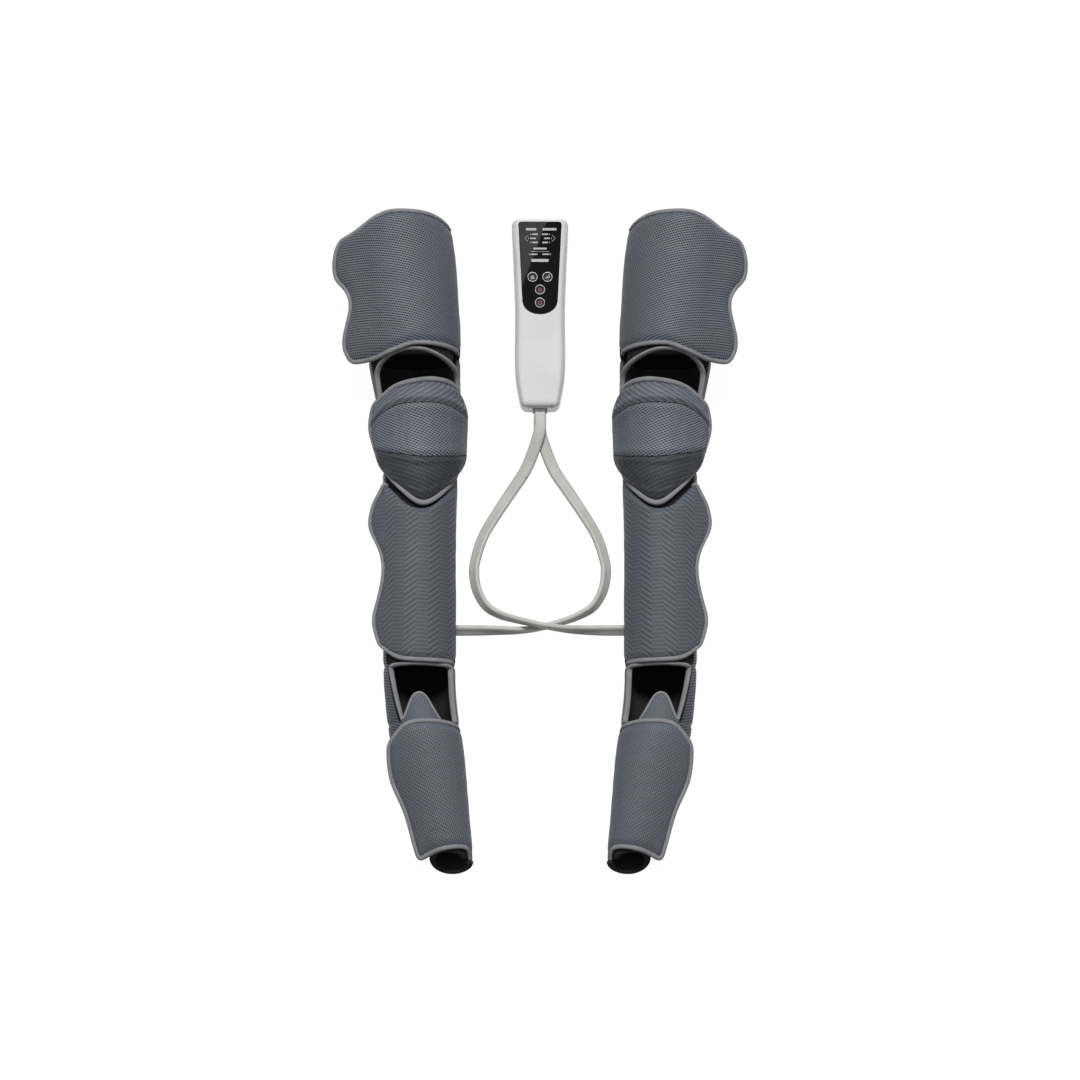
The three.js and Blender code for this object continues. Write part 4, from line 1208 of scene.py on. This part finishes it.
class OBJECT_OT_boot_tapes(bpy.types.Operator):
    """Bind every edge with folded tape"""

    bl_idname = "object.boot_tapes"
    bl_label = "Edge tapes"

    def execute(self, context):
        soft = context.scene.boot_soft
        low, proud = FLAP_DEPTH - 0.0002, soft.tape_proud
        for zone, flap, node in (
            ("thigh_flap", THIGH_FLAP, "thigh_binding"), ("knee_pad", KNEE_PAD, "knee_binding"),
            ("calf_flap", CALF_FLAP, "calf_binding"), ("foot_flap", FOOT_FLAP, "foot_binding"),
        ):
            rim = flap.rim[: flap.corners()[1] + 3] if zone == "calf_flap" else flap.rim
            wide = PAD_TAPE_WIDTH if zone == "knee_pad" else soft.tape_width
            mesh = bound(rim, low, FLAP_DEPTH + flap.edge + proud, flap_point, wide)
            both_sides(f"{zone}_tape", mesh, f"{zone}_body", "edge_tape", "tape",
                       replaces=[node], bend=fold_bend(flap))
        ankle = [(126, 0.2013), (146, 0.274), (150, 0.2815), (140, 0.2827), (18.5, 0.2827), (18.5, 0.2013)]
        arch = [
            (162, 0.565), (161, 0.66), *((turn, knee_arch(turn)) for turn in range(158, 19, -6)),
            (8, 0.694), (3, 0.68), (1, 0.66),
        ]
        thigh = [(turn, thigh_rim(turn)) for turn in range(358, 171, -6)]
        toes = [(turn, toe_rim(turn)) for turn in range(20, 359, 6)]
        for name, spots, point, cloth, nodes in (
            ("ankle_tape", ankle, layered_point, "tape", ["ankle_binding"]),
            ("thigh_rim_tape", thigh, turn_point, "tape", []),
            ("knee_arch_tape", arch, layered_point, "tape", []),
            ("toe_rim_tape", toes, turn_point, "lining", []),
        ):
            mesh = bound(turn_line(spots), -RIM_TAPE_PROUD, WALL + RIM_TAPE_PROUD, point, RIM_TAPE_WIDTH)
            both_sides(name, mesh, "root", "edge_tape", cloth, replaces=nodes)
        return {"FINISHED"}


class OBJECT_OT_boot_ankle(bpy.types.Operator):
    """Sew the pointed tongues in the ankle openings"""

    bl_idname = "object.boot_ankle"
    bl_label = "Tongues"

    widths = [(0, 1), (0.38, 0.68), (0.74, 0.43), (0.93, 0.25), (1, 0.06)]

    def execute(self, context):
        half, middle, start, tall = 42, 87, 0.2014, 0.041

        def flat(u, v):
            return (middle + smooth(self.widths, v) * half * (2 * u - 1)) * PER_TURN, start + tall * v

        def crown(u, v):
            over, station = flat(u, v)
            puff = sin(pi * min(max(u, 0), 1)) ** 0.5 * min(1, (1 - v) * 6)
            return turn_point(station, over, 0.0014 + 0.0016 * puff)

        def under(u, v):
            over, station = flat(u, v)
            return turn_point(station, over, 0.0)

        mesh = panel(24, 24, under, crown, flat)
        both_sides("tongue_tab", mesh, "tongue_body", "mesh_fabric", "foot_mesh", "lining",
                   replaces=["tongue"], fill=0.2)
        edge = [flat(0, k / 12) for k in range(12, -1, -1)]
        edge = [flat(1, k / 12) for k in range(13)] + edge
        line = turn_line([(over / PER_TURN, station) for over, station in edge])
        tape = bound(line, -0.0003, 0.0036, turn_point, 0.0036)
        both_sides("tongue_tape", tape, "tongue_body", "edge_tape", "tape")
        return {"FINISHED"}


# Stations in metres and turns in degrees between which the inner parts lie
CHAMBERS = {"thigh": (0.739, 0.869), "calf": (0.313, 0.53), "foot": (0.04, 0.171)}
HOOK_STRIPS = {"thigh": (0.739, 0.869), "calf": (0.313, 0.5)}
HEATER = 0.57, 0.639
CHAMBER_TURNS, HOOK_TURNS, HEATER_TURNS = (198, 342), (144, 180), (54, 126)
CHAMBER_WIDTH, CHAMBER_THICKNESS = 0.13, 0.005


class OBJECT_OT_boot_inner_parts(bpy.types.Operator):
    """Place the air chambers, the heating elements and the hook strips"""

    bl_idname = "object.boot_inner_parts"
    bl_label = "Inner parts"

    def execute(self, context):
        for zone, (low, high) in CHAMBERS.items():
            mesh = self.chamber(low, high)
            both_sides(f"{zone}_chamber", mesh, "root", "bladder_film", "film", "film",
                       replaces=[f"{zone}_bladder"], fill=0.15)
        for zone, stations in HOOK_STRIPS.items():
            mesh = wrap_panel(20, 30, *map(fixed, stations + HOOK_TURNS), puff=0.0,
                              inner=FLAP_DEPTH + 0.0001, outer=FLAP_DEPTH + 0.0012, crown_width=0.0005)
            both_sides(f"{zone}_hook_strip", mesh, "root", "black_lining", "hooks", "hooks",
                       replaces=[f"{zone}_hook_patch"])
        mesh = wrap_panel(30, 16, *map(fixed, HEATER + HEATER_TURNS),
                          inner=0.0035, outer=0.006, puff=0.0003)
        both_sides("heating_element", mesh, "knee_pad_body", "black_lining", "lining", "film",
                   replaces=["knee_heater"])
        return {"FINISHED"}

    def chamber(self, low, high):
        """A flat air chamber with a welded seam round it."""

        wide, tall = CHAMBER_WIDTH, high - low

        def at(u, v, depth):
            return back_point(mix(low, high, v), mix(*CHAMBER_TURNS, u), depth)

        def crown(u, v):
            near = min(u * wide, (1 - u) * wide, v * tall, (1 - v) * tall)
            return at(u, v, -0.0026 - CHAMBER_THICKNESS * ease(near, 0.004, 0.014))

        def under(u, v):
            return at(u, v, -0.0009)

        return panel(40, 30, under, crown, lambda u, v: (u * wide, v * tall))


# The handset, from its hose end at Y 0.19 to its head, lying on its back
HAND_END, HAND_LENGTH, HAND_HEIGHT = 0.19, 0.275, 0.042
HAND_WIDTHS = [(0, 0.054), (0.18, 0.07), (0.53, 0.071), (0.95, 0.08), (1, 0.08)]
PARTING = 0.021
PANEL_TOP = 0.0423
BUTTONS = {
    "mode_button": (-0.0105, 0.378), "pressure_button": (0.0105, 0.378),
    "heat_button": (0.0, 0.3595), "power_button": (0.0, 0.3405),
}
HOLE_RADIUS = 0.0074
OUTLINE_HALF, SPIN_STEPS = 48, 48
PANEL_BASE, RECESS_FLOOR, RECESS_GAP, CUTTER_TOP = 0.0407, 0.0404, 0.0003, 0.06
BAR_THICKNESS, BAR_LEVEL = 0.00012, PANEL_TOP + 0.00005
CAP_MARK_THICKNESS, CAP_MARK_LEVEL = 0.0003, 0.043
SHELL_CORNER = 0.009
SHELL_SQUARE = 0.46
SHELL_WALL = 0.0026
SHELL_GAP = 0.00015


def panel_outline(grow):
    """The front panel's outline: straight head, drawn-in sides and a round lower end."""
    top, low = HAND_END + 0.269 + grow, HAND_END + 0.134 - grow
    wide, narrow = 0.0305 + grow, 0.025 + grow
    corner, round_end = 0.004, 0.022
    right = [Vector((0, top)), Vector((wide - corner, top))]
    for k in range(1, 9):
        t = k / 8
        right.append(Vector((wide - corner * (1 - t) ** 2, top - corner * t * t)))
    right.append(Vector((narrow, low + round_end)))
    for k in range(1, 25):
        t = k / 24
        points = (narrow, low + round_end), (narrow, low + round_end / 3), (narrow / 2, low), (0, low)
        weights = (1 - t) ** 3, 3 * t * (1 - t) ** 2, 3 * t * t * (1 - t), t**3
        right.append(sum((Vector(p) * w for p, w in zip(points, weights)), Vector((0, 0))))
    half = respaced(right, OUTLINE_HALF)
    return half + [Vector((-p.x, p.y)) for p in half[-2:0:-1]]


def upright(outline, low, high):
    """A plate between two heights with a given outline."""
    mesh = bmesh.new()
    ring = bmesh.ops.create_circle(mesh, cap_ends=True, segments=len(outline), radius=1)["verts"]
    for vert, spot in zip(ring, outline):
        vert.co = (spot.x, spot.y, low)
    raised = bmesh.ops.extrude_face_region(mesh, geom=mesh.faces[:], use_keep_orig=True)
    verts = [item for item in raised["geom"] if isinstance(item, bmesh.types.BMVert)]
    bmesh.ops.translate(mesh, verts=verts, vec=(0, 0, high - low))
    bmesh.ops.recalc_face_normals(mesh, faces=mesh.faces)
    return mesh


def rounded(mesh, width):
    """Bevels the sharp edges."""
    edges = [e for e in mesh.edges if e.calc_face_angle(0) > radians(40)]
    bmesh.ops.bevel(mesh, geom=edges, offset=width, offset_type="OFFSET", segments=2, profile=0.5,
                    affect="EDGES", material=-1)
    return mesh


def spun(profile):
    """A turned solid from (radius, height) points; the first and last lie on the axis."""
    mesh = bmesh.new()
    verts = [mesh.verts.new((r, 0, z)) for r, z in profile]
    edges = [mesh.edges.new(pair) for pair in zip(verts, verts[1:])]
    bmesh.ops.spin(mesh, geom=verts + edges, axis=(0, 0, 1), cent=(0, 0, 0), steps=SPIN_STEPS,
                   angle=2 * pi, use_merge=True)
    bmesh.ops.remove_doubles(mesh, verts=mesh.verts, dist=MERGED)
    bmesh.ops.recalc_face_normals(mesh, faces=mesh.faces)
    return mesh


def moved(mesh, x, y, z=0.0):
    bmesh.ops.translate(mesh, verts=mesh.verts, vec=(x, y, z))
    return mesh


def joined(meshes):
    """Several closed forms in one piece."""
    whole = bmesh.new()
    for mesh in meshes:
        data = bpy.data.meshes.new("part")
        mesh.to_mesh(data)
        mesh.free()
        whole.from_mesh(data)
        bpy.data.meshes.remove(data)
    return whole


class OBJECT_OT_boot_housing(bpy.types.Operator):
    """Mould the two halves of the handset's housing"""

    bl_idname = "object.boot_housing"
    bl_label = "Handset housing"

    def execute(self, context):
        front = self.half(PARTING + SHELL_GAP, upper=True)
        back = self.half(PARTING - SHELL_GAP, upper=False)
        self.shell("front_housing", front, ["front_shell"], recess=True)
        self.shell("back_housing", back, ["back_shell"], recess=False)
        return {"FINISHED"}

    def half(self, parting, upper):
        middle = HAND_HEIGHT / 2

        def place(u, v):
            angle = 2 * pi * v
            near = min(u, 1 - u) * HAND_LENGTH
            draw = SHELL_CORNER - sqrt(max(SHELL_CORNER**2 - max(SHELL_CORNER - near, 0.0) ** 2, 0.0))
            width = smooth(HAND_WIDTHS, u) / 2 - draw
            height = middle + middle * 1.1 * squared(sin(angle), SHELL_SQUARE)
            level = min(max(height, draw), HAND_HEIGHT - draw)
            return Vector((width * squared(cos(angle), SHELL_SQUARE), HAND_END + u * HAND_LENGTH, level))

        mesh = tube(110, 96, place, lambda u, v: (u * HAND_LENGTH, v * 0.2))
        bmesh.ops.bisect_plane(mesh, geom=mesh.verts[:] + mesh.edges[:] + mesh.faces[:], dist=MERGED,
                               plane_co=(0, 0, parting), plane_no=(0, 0, 1),
                               clear_inner=upper, clear_outer=not upper)
        return mesh

    def shell(self, name, mesh, nodes, recess):
        piece = finished(name, mesh, "root", "white_gloss", "shell", replaces=nodes, sharp=35)
        wall = piece.modifiers.new("wall", "SOLIDIFY")
        wall.thickness = SHELL_WALL
        wall.offset = -1
        cutters = []
        if recess:
            cutters = [upright(panel_outline(RECESS_GAP), RECESS_FLOOR, CUTTER_TOP), *button_holes()]
        cut_away(piece, cutters, 35)


def button_holes():
    """Upright cutters at the four buttons."""
    profile = [(0, 0.03), (HOLE_RADIUS, 0.03), (HOLE_RADIUS, CUTTER_TOP), (0, CUTTER_TOP)]
    return [moved(spun(profile), x, y) for x, y in BUTTONS.values()]


def cut_away(piece, cutters, sharp):
    """Takes cutters off a piece, applies its modifiers and keeps every edge over an angle crisp."""
    tools = []
    for cutter in cutters:
        tool = placed("cutter", cutter)
        cutter.free()
        cut = piece.modifiers.new("cut", "BOOLEAN")
        cut.operation, cut.solver, cut.object = "DIFFERENCE", "EXACT", tool
        tools.append(tool)
    depsgraph = bpy.context.evaluated_depsgraph_get()
    data = bpy.data.meshes.new_from_object(piece.evaluated_get(depsgraph))
    piece.modifiers.clear()
    mesh = bmesh.new()
    mesh.from_mesh(data)
    for edge in mesh.edges:
        edge.smooth = edge.calc_face_angle(0) <= radians(sharp)
    mesh.to_mesh(data)
    mesh.free()
    piece.data = data
    for tool in tools:
        bpy.data.objects.remove(tool)


def bar(x, y, wide, tall, slant=0.0, thick=BAR_THICKNESS, level=BAR_LEVEL):
    """A flat printed bar."""
    mesh = bmesh.new()
    bmesh.ops.create_cube(mesh, size=1)
    bmesh.ops.scale(mesh, vec=(wide, tall, thick), verts=mesh.verts)
    bmesh.ops.rotate(mesh, cent=(0, 0, 0), matrix=Matrix.Rotation(slant, 3, "Z"), verts=mesh.verts)
    return moved(mesh, x, y, level)


class OBJECT_OT_boot_front_panel(bpy.types.Operator):
    """Set the smoked panel with its generic marks"""

    bl_idname = "object.boot_front_panel"
    bl_label = "Front panel"

    def execute(self, context):
        glass = rounded(upright(panel_outline(0.0), PANEL_BASE, PANEL_TOP), 0.0003)
        piece = finished("smoked_panel", glass, "root", "black_gloss", "glass",
                         replaces=["screen_panel"], sharp=30)
        cut_away(piece, button_holes(), 12)
        marks = joined([bar(*spec) for spec in self.marks()])
        finished("panel_marks", marks, "root", "black_gloss", "mark")
        return {"FINISHED"}

    def marks(self):
        """Bars, brackets and lines, in the photograph's places: x, y, width, height and slant."""
        yield -0.0125, 0.4478, 0.0145, 0.0034
        yield 0.0135, 0.4478, 0.0195, 0.0034
        middle = 0.4345
        for side in (-1, 1):
            for row, wide, out in ((0.4405, 0.0085, 0), (middle, 0.008, 0.0025), (0.4285, 0.008, 0)):
                yield side * (0.0072 + out), row, wide, 0.002
                yield side * (0.0135 + out), row, 0.0013, 0.0013
            for slant in (-1, 1):
                yield side * 0.0192, middle + slant * 0.0024, 0.0058, 0.0005, -side * slant * radians(42)
        yield 0.0, 0.4195, 0.0185, 0.0026
        yield 0.0, 0.4152, 0.026, 0.0005
        for side in (-1, 1):
            yield side * 0.0085, 0.4112, 0.010, 0.0018
            yield side * 0.0150, 0.4112, 0.0013, 0.0013
        yield 0.0, 0.4022, 0.024, 0.0042


class OBJECT_OT_boot_buttons(bpy.types.Operator):
    """Fit the four round buttons with their rings and marks"""

    bl_idname = "object.boot_buttons"
    bl_label = "Buttons"

    def execute(self, context):
        for name, (x, y) in BUTTONS.items():
            cap = spun([
                (0, 0.0379), (0.0082, 0.0379), (0.0082, 0.0391), (0.007, 0.0391), (0.007, 0.0426),
                (0.0066, 0.0430), (0.0060, 0.0432), (0.0045, 0.0430), (0.0025, 0.04285), (0, 0.0428),
            ])
            ring = spun([
                (0.0063, 0.0429), (0.00635, 0.0433), (0.0066, 0.0434), (0.00685, 0.0433),
                (0.0069, 0.0428), (0.0063, 0.0429),
            ])
            specs = self.marks(name)
            bars = [bar(*spec, thick=CAP_MARK_THICKNESS, level=CAP_MARK_LEVEL) for spec in specs]
            ink = "warm_mark" if name in ("heat_button", "power_button") else "mark"
            body = f"{name}_body"
            finished(f"{name}_cap", moved(cap, x, y), body, "black_gloss", "button",
                     replaces=[name], sharp=40)
            finished(f"{name}_ring", moved(ring, x, y), body, "pump_metal", "ring", sharp=60)
            finished(f"{name}_mark", moved(joined(bars), x, y), body, "black_gloss", ink)
        return {"FINISHED"}

    def marks(self, name):
        """A generic mark as bars: three lines, dots, waves or a ring with a stroke."""
        if name == "mode_button":
            return [(0, y, wide, 0.0011) for y, wide in ((0.0017, 0.0022), (0, 0.0040), (-0.0017, 0.0056))]
        if name == "pressure_button":
            return [(x, x * 0.5 - 0.0002, 0.0012, 0.0018 + (x + 0.002) * 0.7) for x in (-0.0021, 0, 0.0021)]
        if name == "heat_button":
            waves = ((-0.0014, -0.5), (0, 0.5), (0.0014, -0.5))
            return [(x, y, 0.0007, 0.0016, slant) for x in (-0.0018, 0, 0.0018) for y, slant in waves]
        turns = [radians(40 + k * 20) for k in range(15)]
        ring = [(sin(turn) * 0.0025, cos(turn) * 0.0025, 0.0011, 0.0007, -turn) for turn in turns]
        return ring + [(0, 0.0017, 0.0007, 0.0026)]


class OBJECT_OT_boot_fittings(bpy.types.Operator):
    """Finish the hose entries, the socket, the inlet and what the handset holds"""

    bl_idname = "object.boot_fittings"
    bl_label = "Fittings"

    def execute(self, context):
        made = finishes(context)
        # The hose socket wears the darker grey so that it reads as the shadow where the hoses leave the
        # housing: painted shade.
        worn = {
            "left_air_fitting": "grey", "right_air_fitting": "grey", "hose_socket": "grey",
            "valve_block": "dark", "dc_inlet": "dark", "circuit_board": "board", "air_pump": "plate",
        }
        for node, finish in worn.items():
            data = frame["nodes"][node].data
            data.materials.clear()
            data.materials.append(made[finish])
        return {"FINISHED"}


OPERATORS = (
    OBJECT_OT_boot_stage, OBJECT_OT_boot_hoses, OBJECT_OT_boot_back_panels, OBJECT_OT_boot_flaps,
    OBJECT_OT_boot_knee_pads, OBJECT_OT_boot_tapes, OBJECT_OT_boot_ankle, OBJECT_OT_boot_inner_parts,
    OBJECT_OT_boot_housing, OBJECT_OT_boot_front_panel, OBJECT_OT_boot_buttons, OBJECT_OT_boot_fittings,
)


class VIEW3D_PT_boots(bpy.types.Panel):
    """The boots' settings and the steps that build them"""

    bl_label = "Compression boots"
    bl_idname = "VIEW3D_PT_boots"
    bl_space_type = "VIEW_3D"
    bl_region_type = "UI"
    bl_category = "Boots"

    def draw(self, context):
        for group in (context.scene.boot_soft, context.scene.boot_hose, context.scene.boot_handset):
            box = self.layout.box()
            for name in group.__annotations__:
                box.prop(group, name)
        for operator in OPERATORS:
            self.layout.operator(operator.bl_idname)


CLASSES = (SoftSettings, HoseSettings, HandsetSettings, *OPERATORS, VIEW3D_PT_boots)


def register():
    for made in CLASSES:
        bpy.utils.register_class(made)
    bpy.types.Scene.boot_soft = PointerProperty(type=SoftSettings)
    bpy.types.Scene.boot_hose = PointerProperty(type=HoseSettings)
    bpy.types.Scene.boot_handset = PointerProperty(type=HandsetSettings)


def unregister():
    for name in ("boot_soft", "boot_hose", "boot_handset"):
        delattr(bpy.types.Scene, name)
    for made in reversed(CLASSES):
        bpy.utils.unregister_class(made)


def main():
    register()
    steps = bpy.ops.object
    steps.boot_stage()
    steps.boot_hoses()
    steps.boot_back_panels()
    steps.boot_flaps()
    steps.boot_knee_pads()
    steps.boot_tapes()
    steps.boot_ankle()
    steps.boot_inner_parts()
    steps.boot_housing()
    steps.boot_front_panel()
    steps.boot_buttons()
    steps.boot_fittings()
    bpy.context.view_layer.update()


if __name__ == "__main__":
    main()
